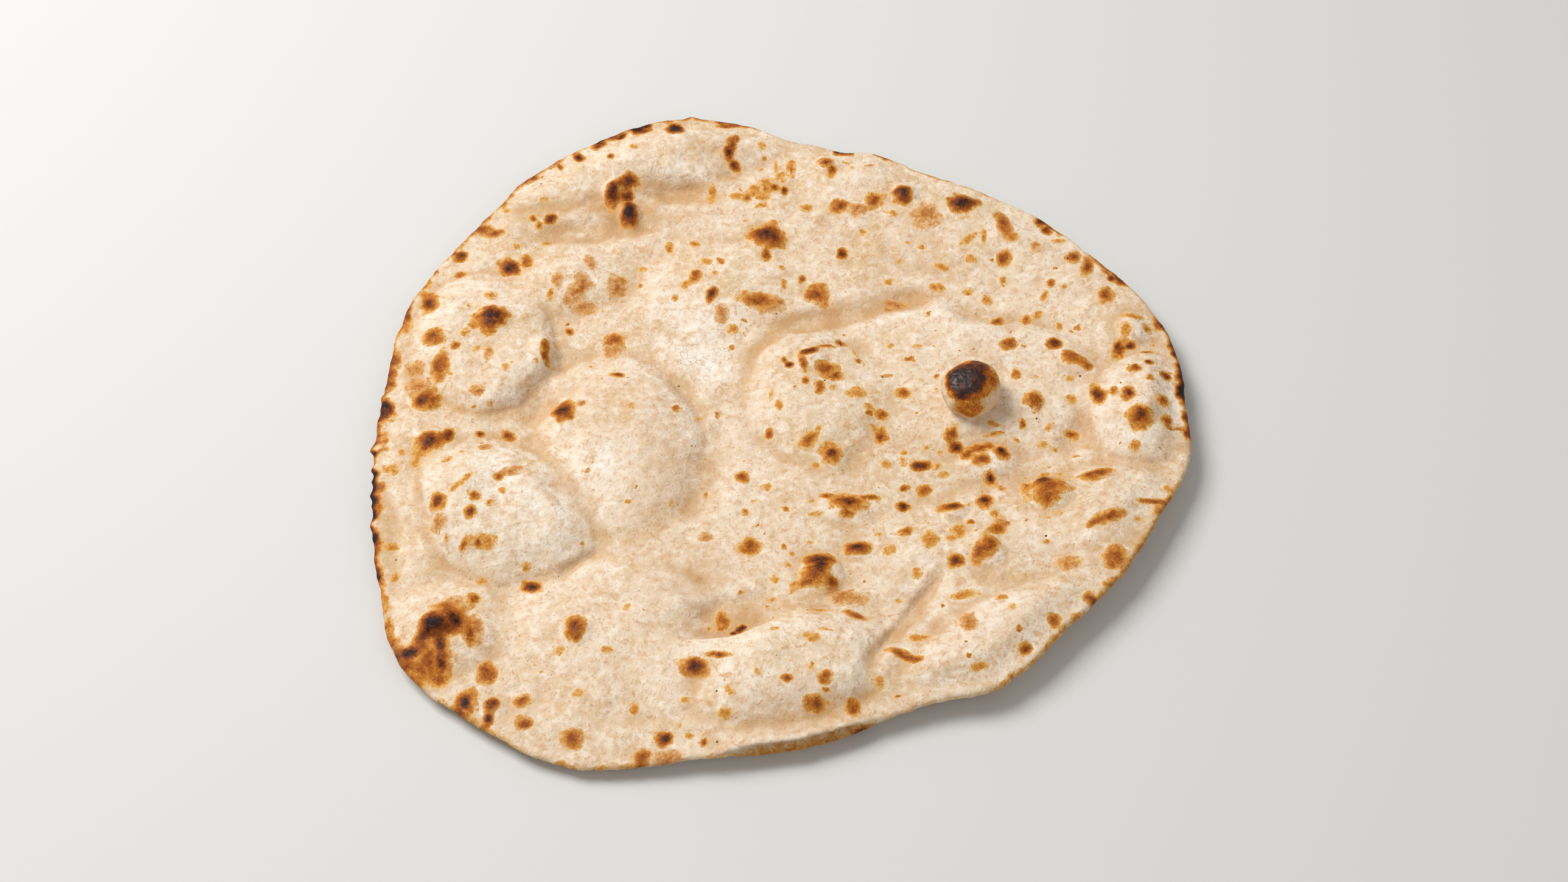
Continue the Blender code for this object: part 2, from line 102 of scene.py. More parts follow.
# Small blisters that sit on the mounds, in the same terms.
BLISTERS = (
    (-89, 26, 6, 9, 8, 3.2, 2.0),
    (-60, 96, 5, 8, 10, 3.4, 2.2),
    (-67, 106, 5, 6, -20, 3.0, 2.0),
    (-6, 84, 9, 7, -8, 2.4, 2.0),
    (-110, 40, 8, 7.5, 0, 1.6, 2.0),
    (-81, -6, 7, 8, 0, 1.4, 2.0),
    (-127, -14, 9, 7, 0, 1.6, 2.0),
    (-132, 6, 8, 8, 40, 1.6, 2.0),
    (-119, -92, 7.5, 6, 20, 3.2, 2.2),
    (-128, -104, 6, 5, 0, 2.6, 2.2),
    (-105, -123, 5, 5, 0, 1.6, 2.0),
    (-97, -124, 4, 5, 0, 1.4, 2.0),
    (-71, -95, 6, 6, 0, 1.6, 2.0),
    (-29, -108, 8, 6, 0, 1.4, 2.0),
    (14, -69, 9, 9, 0, 3.6, 2.1),
    (22, -41, 11, 6, -5, 2.0, 2.0),
    (19, -21, 6, 5.5, 0, 1.8, 2.0),
    (27, -60, 6, 4, 0, 1.8, 2.0),
    (75, -22, 12, 8, 8, 3.6, 2.0),
    (96, -37, 10, 8.5, 0, 4.2, 2.1),
    (72, -60, 7, 10, 30, 3.0, 2.0),
    (62, -44, 6, 4, 25, 1.8, 2.0),
    (114, -30, 9, 5, 5, 1.8, 2.0),
    (118, -66, 7, 6, -20, 2.2, 2.0),
    (134, 37, 8, 8, 0, 3.6, 2.0),
    (131, -6, 7, 7, 0, 2.2, 2.0),
    (111, 22, 9, 4.5, -35, 2.0, 2.0),
    (93, 3, 5, 5, 0, 1.8, 2.0),
    (49, 105, 6, 5, 0, 1.8, 2.0),
    (72, 101, 6, 5, 20, 2.0, 2.0),
    (18, 121, 6, 6, 0, 1.8, 2.0),
    (11, 23, 7, 6, 20, 2.2, 2.0),
)

# Sunken places: x, y, half length, half width, turn in degrees, depth, squareness.
HOLLOWS = (
    (-76, 87, 32, 9, 8, 2.6, 2.0),  # valley across the back left
    (-42, 109, 26, 8, -8, 2.6, 2.0),  # its right end
    (16, 46, 26, 8, 12, 2.2, 2.0),  # shaded valley behind the toasted mound
    (48, 56, 18, 7, 4, 2.2, 2.0),  # and behind the plateau
    (-141, -53, 30, 8, 101, 2.6, 2.0),  # shelf between the lower left mound and the rim
    (-18, -86, 26, 11, 14, 4.2, 2.0),  # dent behind the rolled mound
    (-27, -26, 32, 11, 74, 1.8, 2.0),  # dip right of the large pillow
    (31, -107, 17, 6, 76, 1.8, 2.0),  # trough on the left of the deep crease
    (-15, -92, 6, 3.5, 20, 3.4, 2.0),  # hole of a burst blister in the dent
    (-85, 6, 22, 7, 42, 1.8, 2.0),  # between the upper left mound and the pillow
    (107, -12, 13, 8, 66, 1.4, 2.0),  # left of the right mound
)

# Folds: height, width of the steep side, width of the gentle side, then the points of the crest.
# The steep side is on the left of the way the points run.
FOLDS = (
    (2.2, 3.5, 14.0, ((-7, 22), (-4, 30), (5, 35), (16, 36), (26, 33))),
    (2.4, 3.5, 16.0, ((26, 34), (34, 42), (46, 46), (60, 47), (69, 40), (87, 37), (108, 35))),
    (1.8, 3.5, 12.0, ((24, 33), (31, 22), (34, 12), (36, 2), (39, -7))),
    (3.4, 4.0, 15.0, ((-36, -102), (-18, -98), (-8, -92), (9, -87), (23, -87), (34, -94))),
    (2.8, 3.2, 18.0, ((-112, -67), (-120, -55), (-124, -45), (-127, -35), (-128, -26))),
    (2.0, 3.5, 13.0, ((-94, -27), (-86, -39), (-78, -50), (-71, -58))),
    (1.5, 4.0, 16.0, ((-60, 26), (-49, 17), (-41, 7), (-34, -6), (-29, -20))),
    (2.0, 4.0, 15.0, ((50, -84), (61, -78), (73, -79), (85, -86))),
    (2.4, 4.0, 15.0, ((126, -27), (120, -14), (116, -3), (115, 8), (121, 20))),
    (2.6, 3.2, 12.0, ((-90, 38), (-90, 28), (-91, 20), (-97, 13), (-100, 7), (-106, 4), (-115, 4))),
    (1.1, 3.0, 7.0, ((58, 72), (55, 61), (59, 53), (67, 49), (73, 42))),
)

# Creases and cracks: depth, half width, then their points.
CREASES = (
    (3.2, 2.2, ((57, -69), (50, -79), (43, -90), (36, -98), (31, -107))),
    (2.6, 2.8, ((-36, -96), (-25, -94), (-15, -91), (-5, -87))),
    (2.2, 2.0, ((-64, -59), (-70, -63), (-75, -67), (-79, -73))),
    (1.6, 2.0, ((-131, -30), (-130, -38), (-127, -45), (-124, -53), (-119, -60))),
)

# The knob: a blister that swelled into a ball with a narrower neck.
KNOB_CENTRE = (70.0, 5.0)
KNOB_RADIUS = 11.2
KNOB_FLATTEN = 0.84  # its height is this share of a true ball's
KNOB_NECK_ANGLE = 36.0  # degrees below its widest line where the neck begins
KNOB_NECK_HEIGHT = 0.12  # the neck's height as a share of the ball's radius
KNOB_FOOT = 15.5  # radius of the skin that stretched into it
KNOB_COLLAR_START = 0.76  # share of that skin that forms the ball, the rest is the collar

# The split lip: the lower skin stands out past the lifted top skin.
LIP_MIDDLE = 273.0
LIP_HALF_WIDTH = 13.0
LIP_FULL_SHARE = 0.45  # share of its half width along which it is fully open
LIP_STAND_OUT = 2.4
LIP_GAP = 2.6
LIP_GAP_LEVEL = 0.55  # how far up the rim's edge the gap lies, where 1 is the top skin
LIP_GAP_HEIGHT = 0.12  # half the gap's height on the same scale
LIP_LOWER_LEVEL = 0.45  # the lower skin's share of the rim's edge
LIP_TOP_LIFT = 1.6

# Crags on the rim, most of them charred and on the left: degrees, how far they stand out, and half
# width in degrees.
RIM_CRAGS = (
    (186.8, 1.8, 0.7), (190.1, 0.8, 0.5), (192.0, 0.6, 0.4), (194.1, 0.8, 0.5), (195.8, 0.5, 0.4),
    (198.5, 0.7, 0.7), (204.0, 0.5, 0.6), (177.7, 0.7, 0.6), (104.0, 1.2, 1.0),
)  # fmt: skip

# Irregular lumps, as (millimetres across, how high they stand) pairs.
SKIN_LUMPS = ((26.0, 0.9), (11.0, 0.55), (5.0, 0.22))
UNDERSIDE_LUMPS = ((34.0, 1.6), (12.0, 0.5))
RIM_LUMPS = ((9.0, 0.65), (3.0, 0.38))
KNOB_LUMPS = ((8.0, 0.055), (4.5, 0.06))  # heights as shares of the ball's radius
SKIN_SEED = 3.0
RIM_SEED = 50.0
UNDERSIDE_SEED = 80.0
KNOB_SEED = 120.0
RAGGED_SEED = 160.0
TOAST_SEED = 200.0
FINE_SEED = 230.0
PITS_SEED = 260.0
WARP_SEEDS = (300.0, 340.0)  # along x and along y
NEXT_SEED = 10.0  # from one size of lumps to the next

RIM_RELIEF = 0.25  # share of the top skin's relief that is left at the rim
CURL_END = 1.25  # the underside's curl would level out at this share of the way out
WAVY_RISE = 0.25  # past the flat middle the underside turns wavy over this share of the way out
FADE_MARGIN = 0.02  # share of a fold or crease at each of its ends that stays faintest
FADE_POWER = 0.6  # the lower, the shorter the fading ends of folds and creases

# ---------------------------------------------------------------- finer form, only in the skin

BROAD = 7.0  # painted shade and bare crust where the skin lies lower than it does this far around, and painted light where it lies higher
RING_TURNS = tuple(math.radians(turn) for turn in range(0, 360, 60))
FINE_LUMPS = ((6.0, 0.36), (2.8, 0.13))  # millimetres across, how high they stand
FINE_FADE = 6.0  # they die down over this width inside the rim
UNDERSIDE_PITS = ((6.0, 0.30), (2.8, 0.14))
PITS_AT_REST = 0.8  # their share where the underside touches the table
GATHER_PULL = 0.55  # how much the sheet's squares are drawn in round the knob
GATHER_REACH = 26.0  # and how far around it
GRID = 262  # squares along each side of the sheet that becomes a skin
FACET_SHARE = 0.68  # share of the triangles left once the underside has been thinned
UNDER_SHARE = 0.98  # share of the sheet's underside that is thinned, up to near the rim
RIM_CUTS = 5  # loops round the rounded rim between the skins
SKIN_LEVEL = 0.001  # a point of the slab this near to 0 or 1 is on a skin, not on the rim
LOOKS_TOP = 0.4  # from this level up the rim's edge looks like the top skin

# ---------------------------------------------------------------- what the oven did to the surface

MARK_SCALE = (1.0, 1.2)  # from the set-out sizes to the true ones, across and along the slant

# Bake levels run from 0, plain crust, to 1, charcoal.
# Each kind of mark: how dark its core is, and how far its hue goes from dull tan to amber.
KINDS = {
    "tan": (0.42, 0.12),
    "gold": (0.40, 0.90),
    "brown": (0.70, 0.55),
    "amber": (0.66, 1.00),
    "dark": (0.98, 0.60),
    "char": (1.16, 0.50),
}

# Marks were set out on a flat plan this high above the table, looking down at this slant, and each
# one is then moved along that line until it meets the bread.
PLAN_HEIGHT = 6.0
SLANT = 55.0

# Scorch marks by kind: x, y, size across, size along, and degrees of turn where there are any.
MARKS = {
    "char": (
        (-60, 99, 7, 10, 8), (-43, 142, 8, 7), (-119.2, -88.3, 12.5, 8.2, 18),
        # The char at (-13.2, -92.3) and (-16.2, -93.9), in the hole of the burst blister, is partly char
        # and partly painted shade inside the hole.
        (-127.9, -100.9, 8.6, 5.2, 5), (-106.7, -120.4, 4.6, 4.8), (-13.2, -92.3, 3.8, 2, 30),
        (-16.2, -93.9, 3, 1.4), (-146, 3, 3.4, 6, 10),
    ),
    "dark": (
        (48.5, 108, 8, 7), (71.5, 103, 11, 9, 25), (104, 88.6, 5, 4, -30), (24, 77, 4.5, 5),
        (127.5, 63.6, 4, 3, -40), (-74, 133, 4, 3, 35), (-81.4, 127, 4, 5, 35),
        (-99.6, 116.4, 4, 3, 45), (-55.6, 141, 6, 3, 20), (-65, 138, 5, 3, 20),
        (-66.6, 109, 6, 11, -18), (-61, 113.5, 8, 6), (-61, 105, 5, 6), (-6, 87, 14, 10, -5),
        (-91, 94.5, 5, 4), (-125.6, 75.6, 6, 5, 40), (-105.6, 69.3, 9, 7, -20),
        (-134.5, 51.4, 7, 9, 20), (-110.3, 45, 13, 11, -15), (-27, 56.6, 4.5, 6, -15),
        (-143, 47, 3, 6, 15), (-87.6, -75, 8, 4.5, -12), (-106.5, -120, 6, 7, 20),
        (-97.6, -121, 6, 4.5, 30), (-98.6, -126.4, 4, 5), (-39, -134, 6, 4.5), (-29, -106.4, 8, 5),
        (61.6, -64.3, 5, 4.5, 20), (13.7, -65.3, 7, 9), (-112.5, -87.5, 9, 8.5),
        (-117, -97, 5.5, 9, 10), (-116, -104, 4.5, 7), (-121, -92, 12, 7, 25),
        (-21.2, 129.3, 4.6, 6.6, -10), (-19.2, 122.8, 5.5, 4.4), (2.9, 22.2, 3.7, 2.9),
        (10.5, 29, 6.8, 3.7, 12), (18.6, -17.5, 5.1, 4.6), (44.3, -41.9, 5.5, 3.5),
        (27, -58.4, 9.4, 4.8, 5), (13.2, -63.6, 10.5, 6.6), (25.1, -39.1, 6.6, 2.9),
        (36.7, -10.5, 2.9, 2.4), (131.3, 30.8, 3.7, 2.6), (137.1, 23.7, 3.7, 2.4),
        (143, 17.2, 4.4, 3.5, -10), (127.5, 9.1, 3.3, 3.7), (126.7, 30.4, 3.3, 4.8, -20),
        (103.1, 33, 5.5, 4.4), (63.9, -15.3, 5.9, 3.7, 10), (80.5, -16.9, 5.5, 4.8),
        (75.8, -28.7, 3.3, 3.3), (73.6, -38.6, 4.4, 5.1), (61.2, -41.2, 8.3, 4.6, 10),
        (94.9, -30, 6.6, 4.8), (147.9, -9.5, 3.3, 4.4), (-133.3, 5.4, 6.6, 5.5),
        (-127.9, -11.5, 8.8, 7.7, -10), (-122.3, -9.6, 4.4, 6.6, -10), (-122.1, -38.5, 4.4, 4.6),
        (-110.3, -42.6, 3.6, 3.4), (-110.5, -9.8, 2.6, 2, 10), (1.1, 109.3, 2.8, 3.2),
        (-80.9, 1.5, 8.6, 8.6), (50.9, -23.2, 7.5, 3.7, 18), (130.8, -0.5, 6.4, 5.7),
        # The dark mark at (-14.4, -93) darkens the same hole: partly scorch, partly painted shade.
        (117, 8.2, 4.6, 9.2, 10), (-70.8, -89.3, 2.9, 2.4), (-14.4, -93, 4, 2.6, 25),
    ),
    "brown": (
        (23, 101, 8, 5, 20), (37, 104, 7, 6), (87, 92, 6, 13, 12), (14, 56.5, 10, 8, 30),
        (8, 64, 4, 4), (113, 75, 6, 5), (118, 70, 5, 9, -12), (124, 56, 6, 7, -30),
        (82.5, 43, 5, 4.5), (86.5, 74, 5, 6.5, -20), (-6, 76, 4, 6), (-112.4, 86.6, 7, 4, 10),
        (-117.7, 89, 7, 5, 30), (-124.5, 66, 5, 3), (-33.5, 65.6, 4.5, 6, -10),
        (-8.7, 53.5, 15, 7, -3), (-107, -79.6, 4, 3.5), (-100.7, -109, 8, 7, -30),
        (-87.6, -120, 7, 4, 10), (-86.5, -128, 6, 4, -15), (-70.7, -90.6, 7, 8, -25),
        (-29, -106.4, 11, 7), (-70, -134, 8, 6), (-46, -141, 5, 5), (-26, -135.4, 2.5, 3),
        (117.5, -62.4, 8, 8, -20), (107, -78.5, 4.5, 4.5), (113, -77, 5, 3, 30),
        (93.8, -87.5, 4.5, 5), (83, -98.5, 4, 5, -20), (14.8, -110, 4.5, 4), (2, -110, 4.5, 3.5),
        (47.4, -120.7, 3, 3), (104, 62, 3.5, 3.5), (-68.5, 127, 3, 3), (-89, 122, 3, 4, 35),
        (-123, -97, 13, 8, 40), (-116.3, -102, 7.5, 17, 4), (-106.2, -119.6, 8.2, 8.2),
        (-2.9, 110.7, 4.4, 3.5), (-22.9, 143.7, 7.7, 2.4), (-18.5, 137.1, 4.2, 4.4),
        (17.7, 124.4, 6.6, 6), (12, -69, 11.5, 9), (8.7, -73, 8.8, 3.3), (17.6, -72.5, 6.6, 4),
        (11.5, -120.2, 8.2, 5, 10), (42.4, -102.3, 14.3, 3, -25), (46, -103.5, 5.5, 3.3, -25),
        (-21.7, -101.5, 9.9, 2.4, -10), (26.3, -86.9, 9.9, 2.4, -20), (1.1, 24.9, 2.6, 2.6),
        (8.4, 23.6, 3.1, 6.8, 15), (17, 31.2, 8.1, 1.5, 8), (22.7, 32.7, 4.8, 3.1),
        (29, 24.5, 2.4, 2, -40), (9, 15.4, 3.3, 3.1), (16.7, 20.2, 9.2, 6.1),
        (20.2, 17.2, 6.1, 4, -20), (13.9, 12.2, 4, 5.5), (-4.4, -8.8, 3.1, 3.3),
        (24.2, -38.6, 14.3, 6.8), (16.5, -36.8, 7, 2.2), (32, -37.6, 8.8, 2.6),
        (23.4, -43.6, 6.1, 3.7), (44.4, -33.4, 4.4, 2.2, 30), (-14.3, -29, 5.1, 4.8),
        (131, 20.4, 5.3, 4, 20), (137.5, 28.4, 6.4, 1.3, -5), (140.4, 6.1, 5.1, 4.4),
        (140.6, -2.4, 4.6, 4), (146.3, -7.5, 7.2, 1.5, -10), (141.1, -6.2, 3.3, 1.5, -20),
        (127.5, 8.8, 5.3, 5.7), (127.5, 29.5, 5.5, 8.1, -20), (122.1, 9.9, 2.6, 4.4),
        (93.6, 7.2, 8.1, 6.6, -40), (85.4, 32.4, 5.5, 5.9, -20), (62.6, -9.5, 6.1, 5.1, 25),
        (80.5, -17.1, 6.8, 5.9), (73.2, -20.6, 5.7, 4.8), (73.5, -39.4, 5.9, 6.8, 15),
        (113.9, -26.4, 13.2, 4, 5), (110.8, -27.4, 5.5, 4.8), (115.8, -44.9, 11.4, 4.4, 15),
        (110.8, -48, 6.6, 2.9, 20), (51.8, -34.2, 5.1, 4.4), (73.3, -56.9, 7.2, 9.9, -20),
        (69.6, -60, 6.1, 7.7, -20), (76.5, -50.6, 6.6, 4.4, 20), (117.6, -61.2, 8.8, 6.6, -10),
        (133, -38.7, 12.1, 2.9), (135.3, -42.9, 6.6, 4.4, -10), (67.8, -47.5, 2.6, 2.2),
        (88.9, -5.1, 2.6, 3.7), (-130.8, 35.5, 8.2, 6.6, 10), (-127.6, 22.1, 7.7, 9.9, -8),
        (-131.8, 6.8, 9.9, 8.8, 30), (-110.5, -9.8, 3.8, 2.7, 10), (-101.1, -10.2, 6.6, 4.9, -20),
        (-144.5, -32.6, 3.8, 3.8), (-61.2, 17.6, 5.5, 2.9), (-63.5, 34.2, 8.2, 6),
        (-121.9, 31.5, 4.2, 3.3, 30), (-114.5, -86, 15, 13, 20), (-107.5, -93, 4, 9, 10),
        (-71.5, -89, 6.6, 6), (-70.5, -93, 5, 5), (-77, 59.6, 2.4, 3.3, 10),
        (-78.8, 58.7, 3.3, 1.8), (-13.4, 105.9, 2.4, 3.3), (-6.6, 110, 2.9, 2),
        (3.9, 120.4, 1.8, 3.3), (-111.5, -57.2, 2.4, 3.4, -30), (-106.5, -56.5, 2.4, 2.6),
        (-101.6, -28, 4.2, 4), (24.6, -122.6, 4.9, 5.6), (131.1, -1.4, 8.3, 8.1),
        (-20.2, 133.4, 4.4, 9), (-21.5, -92.5, 3, 2.4, 20),
    ),
    "amber": (
        (-80.8, 38.7, 3.8, 4.2), (-99.3, 72.4, 4.5, 6, 20), (61.6, -64.3, 6, 5.5, 20),
        (-97.7, 95, 3, 3), (-95.6, 91.4, 3, 3), (-20.5, -89.5, 6, 6), (94, 44, 4, 4),
        (-128, -105.5, 9, 6, -35), (-122, -108.5, 12, 6.5, -38), (-116.5, -111, 8, 6, -30),
        (-120, -103, 10, 9), (20.1, 119.6, 3.8, 5.5, -10), (37.3, -0.5, 6.6, 3.7, -20),
        (45.4, 9.1, 5.1, 4.6, 20), (36.7, -10.5, 6.6, 5.9), (10.2, -11.8, 5.7, 7.7, -25),
        (18.6, -17.9, 8.6, 7.2), (44.5, -51.8, 5.1, 3.7, 10), (-11.3, -58.8, 8.3, 5.9, 5),
        (108.9, 26.7, 9.2, 5.5, -25), (113.5, 23, 6.6, 3.5, -30), (96.4, -32, 15.4, 11.4),
        (95.1, -35.9, 9.9, 6.6), (107, -10.2, 6.4, 3.7, -10), (72.9, -15.8, 12.1, 4.4, 10),
        (68.5, -17.9, 5.5, 4.4, 20), (-122.1, -38.5, 6, 6.6), (-109.2, -36.5, 4.2, 3.1, 10),
        (-110.3, -42.6, 5, 4.8), (-88.8, 31.5, 3.4, 6.6, -8), (-88.2, 26, 3.2, 5, 20),
    ),
    "gold": (
        (60, 60, 7, 4, -22), (41.5, 63, 4, 3, 20), (46, 73, 2, 2.6), (72, 58, 6, 2.8, 20),
        (79, 54, 4.6, 5, 20), (86, 63, 3, 4), (90, 85, 6, 4, -10), (73, 84, 9, 2.6, 42),
        (79, 85, 3, 7, 5), (74, 74, 5, 4), (62, 70, 8, 2.8, -22), (55, 80, 3, 2),
        (98, 46, 4, 3, 20), (101, 55, 3, 5, -20), (108, 83, 6, 2.5), (109, 60, 3, 2.5),
        (133, 46, 10, 4, -12), (130, 39, 4, 6, 10), (138, 40, 4, 5, 20), (-8, 133.5, 4, 5),
        (-59, 132, 4, 3), (-28, 108, 4, 9), (-109, 98.7, 4, 3), (-103.5, 80.3, 3, 3),
        (-111, 55.6, 5, 5), (-37, 61.4, 5, 4, -20), (-44, 80, 3.2, 5), (-34, 82, 5.5, 3, -30),
        (-29, 73, 4.5, 3.6, 20), (-26, 67, 2.6, 3), (-41, 55, 3, 3), (-54, 69, 3.6, 3),
        (-18.7, 39.8, 5, 4), (-89, 57, 2.6, 6), (-105, -73, 5, 2.5, -10), (-89.7, -67, 3.5, 3.5),
        (-75.4, -100, 4, 4), (-59.6, -99.6, 5, 3), (-53.8, -82.7, 3, 3), (-49.6, -123, 3.5, 4),
        (-18.5, -124, 5, 4), (-69, -117, 4, 3), (48, -69.5, 5, 3.6, -30), (67.4, -105, 8, 2.6, 24),
        (64, -78, 12, 4), (76.4, -78.5, 5, 3.6, -20), (79.6, -82, 4, 3), (33.7, -112.8, 3, 5),
        (5, -74, 4, 7, -35), (-2, -72, 3, 3), (-92, 82, 4, 3), (-94, 104, 4, 3), (10, 100, 5, 4),
        (1, 62, 3, 4), (0, 70, 3, 3), (44, 97, 3, 3), (106, 40, 3, 4), (-136, -71, 3, 4),
        (-139, -80, 3, 3), (-8.7, 120.4, 2.7, 1.6), (-7, 126, 2.4, 1.3),
        (-9.2, 101.4, 6.6, 1.3, 40), (-13.3, 94.4, 2.7, 1.3, 20), (25.5, 124.4, 4.9, 1.4, -30),
        (28.5, 121.5, 2.7, 1.4), (35.7, 122.8, 4.9, 1.4, 20), (12.8, -84.5, 11, 1.6),
        (10.7, -94.1, 7.1, 3.6), (-2.2, -91.1, 4.4, 2.2, 10), (15.1, -91.3, 4.9, 1.5),
        (-16.9, -114.8, 3, 4, 40), (-32.5, -119.6, 3.1, 2.4), (9.6, -105.8, 3.3, 1.5),
        (-7.8, -107.6, 2.2, 3.3, 30), (-30.4, -132.8, 3.5, 2.2), (-34.1, -128.9, 2.4, 1.8),
        (47.8, -95.3, 8.8, 2.6), (-3.8, -80.3, 3.3, 1.8, 20), (34.1, -112.8, 2.5, 4.4, -10),
        (41, -80.9, 3.3, 1.8), (-24.9, -92.3, 2.2, 2.2), (27.9, 27.7, 1.3, 5.1, 35),
        (19.3, 12, 3.3, 3.1), (27.6, 9.3, 8.3, 4.6), (-3.6, 8.6, 2, 5.5, -10), (-0.6, 4, 3.1, 4.4),
        (31.9, 3.1, 4.4, 2.9, -40), (12.9, -6.8, 2.4, 4.4, -25), (34, -6.4, 4.8, 1.5, -30),
        (12.8, -23.7, 3.1, 3.1), (-13, -43.6, 3.7, 2.9), (-9.9, -39.1, 3.1, 1.5, -10),
        (12.7, -44.2, 6.6, 2, 5), (38.4, -22.8, 4.2, 3.5), (44.6, -21.8, 3.1, 4),
        (34.6, -53.2, 4, 1.3), (38.5, -59.4, 5.5, 4.6, 20), (4.1, -61.4, 2.4, 1.8),
        (10.2, -57.1, 2.4, 1.3), (-18.9, 31.2, 2.9, 2.2), (41, 32, 2.2, 2.2),
        (51.2, 31.5, 4.4, 2.2), (107.6, 16, 3.5, 2.9), (107.7, 6.1, 4, 4.6),
        (98.4, -6.4, 4.6, 2.4, 40), (86.3, -11.8, 4.6, 1.5, -30), (77.7, -9.5, 9.9, 2, 8),
        (77.9, -5.1, 6.1, 1.3), (95.9, -13.9, 3.5, 2.9, -20), (100.3, -16.6, 2.9, 2),
        (76, -29, 5.1, 5.3), (63.3, -51.6, 6.6, 5.5, 30), (60.6, -54.4, 4.4, 2.6, 20),
        (52.7, -15.5, 2, 2), (58.3, -18.5, 2, 2), (56.8, -23.7, 4.4, 2.9),
        (59.3, -27.7, 5.1, 2.9, 10), (114.2, -45.5, 12.1, 5.5, 15), (76.5, -44.5, 4.2, 3.5),
        (93.5, -56.1, 2.9, 2.2), (128.2, -14.9, 4.8, 4), (67.7, -40, 1.8, 1.8),
        (84.8, -41.9, 1.8, 2.2), (138.4, -33.3, 3.3, 3.3), (126.5, -45.8, 4.4, 1.8),
        (140.4, 6.1, 6.6, 5.9), (111.8, -14.9, 1.8, 1.3), (76, -30, 6.6, 6.6),
        (107.6, -19.5, 3.3, 1.5), (95.3, 16.9, 2, 1.8), (101, -64.4, 9.9, 3.3),
        (52.3, -55, 6.6, 6.6), (145.6, 7.7, 1.8, 2.9), (-129.3, -14, 13.2, 7.2),
        (-137.6, -17.9, 2.7, 2.7), (-132.9, -22.2, 4.4, 4.4), (-132, -19, 3, 6),
        (-113.3, -28.7, 2.4, 7.7, -35), (-121, -20.8, 2, 4.4, -50), (-103.8, -39.1, 3.8, 2.4, 30),
        (-99.4, -33.9, 3.3, 2.6), (-117.9, -53.7, 2.7, 3.3), (-104.1, -55.6, 8.8, 5, 10),
        (-141.3, -24.8, 7.7, 4.4, -10), (-138.4, -58.1, 6.6, 3.3), (-91.8, 24.2, 2, 2),
        (-102.8, 21.1, 3.3, 2.7), (-114.2, 29.8, 3.8, 2.2, 30), (-117, -32, 2, 5, -40),
        (-116, -17, 3, 1.8, 30), (-61.5, 62.5, 3.4, 6, 20), (-18.2, 106.1, 3.8, 3.8),
        (-14.3, 105.8, 4.6, 5.5, 10), (-11.1, 110.5, 5.5, 4.6, 20), (-6.7, 113.2, 4.9, 4.6),
        (-7.5, 105.8, 6.6, 2.9), (0.3, 115.6, 2.9, 4.6, 10), (3.9, 121.2, 4, 7.2),
        (-2.1, 121.2, 2.6, 6.1), (-12.2, 107.7, 14.3, 2.9, 15), (-4.5, 111.3, 4.4, 6.6, -20),
        (-0.3, 117.2, 6.6, 2.9, 40), (-5.7, 114.8, 7.7, 2, 10), (-18.8, 106.6, 3.3, 2.9),
        (-7.4, 102.5, 2.6, 2), (-111, -56.2, 3.8, 6.2, -35),
    ),
    "tan": (
        (57, 96, 14, 10, 10), (101, -65, 9, 6, -10), (64.3, -88, 6, 8, 20), (44, 51.5, 12, 4.5, -8),
        (41, 49, 6, 3.4), (99, 80, 5, 5), (30, 100, 10, 6, 10), (-4, 52, 14, 8),
        (-38, -141, 12, 5, 10), (-23, 47, 6, 8), (-105.5, -91, 6, 11, 15), (-119, -102, 15, 14),
        (23.3, -79.7, 15.4, 6.6), (17.6, -75, 8, 6), (-26.7, -54.4, 6.6, 3.3),
        (-27.4, -36.5, 1.8, 3.3), (38.9, 17.4, 6.6, 1.5), (78.2, -48.7, 6.6, 5.5, 25),
        (114.1, -26.8, 14.3, 4.4, 5), (95.1, 4.7, 3.3, 7.7, -40), (-134.5, 12, 11, 9, 40),
        (-121.8, -47.6, 6.4, 5.5), (-107.8, -15.3, 5.5, 3.1), (-74.5, 4.6, 4.9, 2.7),
        (-112.7, 10.9, 6, 5), (-109.8, 27.7, 4.4, 6), (-63.5, 30, 9, 10), (-96, -24.5, 6, 2.4, 20),
        (-137, 20, 8, 6), (-107.8, 5, 2.6, 2.2), (-55, 3.8, 3, 3), (-70, -26, 3, 2),
        (-98.3, -26, 8, 3.6, 10), (-108, -92, 5, 8, 20), (-114.5, -83, 14, 9, 15),
        (-74.2, 72.2, 4.6, 8.8, 15), (-76.4, 63.3, 6.8, 7.7, 10), (-79.2, 57.3, 8.3, 6.4),
        (-75.7, 50, 10.8, 5.3), (-86.5, 64, 5.1, 5.5), (-82.7, 53.7, 4.4, 4.8),
        (-63.6, 59.6, 7.7, 12.3, -10),
    ),
}  # fmt: skip

# Small golden flecks are thickest in these places: x, y, half sizes, turn, amount.
FLECKED = (
    (58, -25, 74, 56, -8, 1.0), (60, 62, 70, 40, -30, 0.62), (-118, 20, 30, 70, 0, 0.55),
    (-90, -70, 50, 60, 20, 0.45), (0, 95, 70, 40, 0, 0.45), (40, -105, 90, 26, 20, 0.5),
    (130, 10, 26, 60, 0, 0.6), (0, 0, 150, 150, 0, 0.34), (10, -40, 60, 50, 0, 0.7),
)  # fmt: skip

OVAL_FADE = (0.25, 1.25)  # shares of its half size between which such a place dies away
VALLEY = (0.05, 0.9)  # painted shade, with the flour taken away, fades in between these depths below the skin around, in millimetres
CREST = (0.0, 0.9)  # and painted light, with more flour, fades in between these heights above it
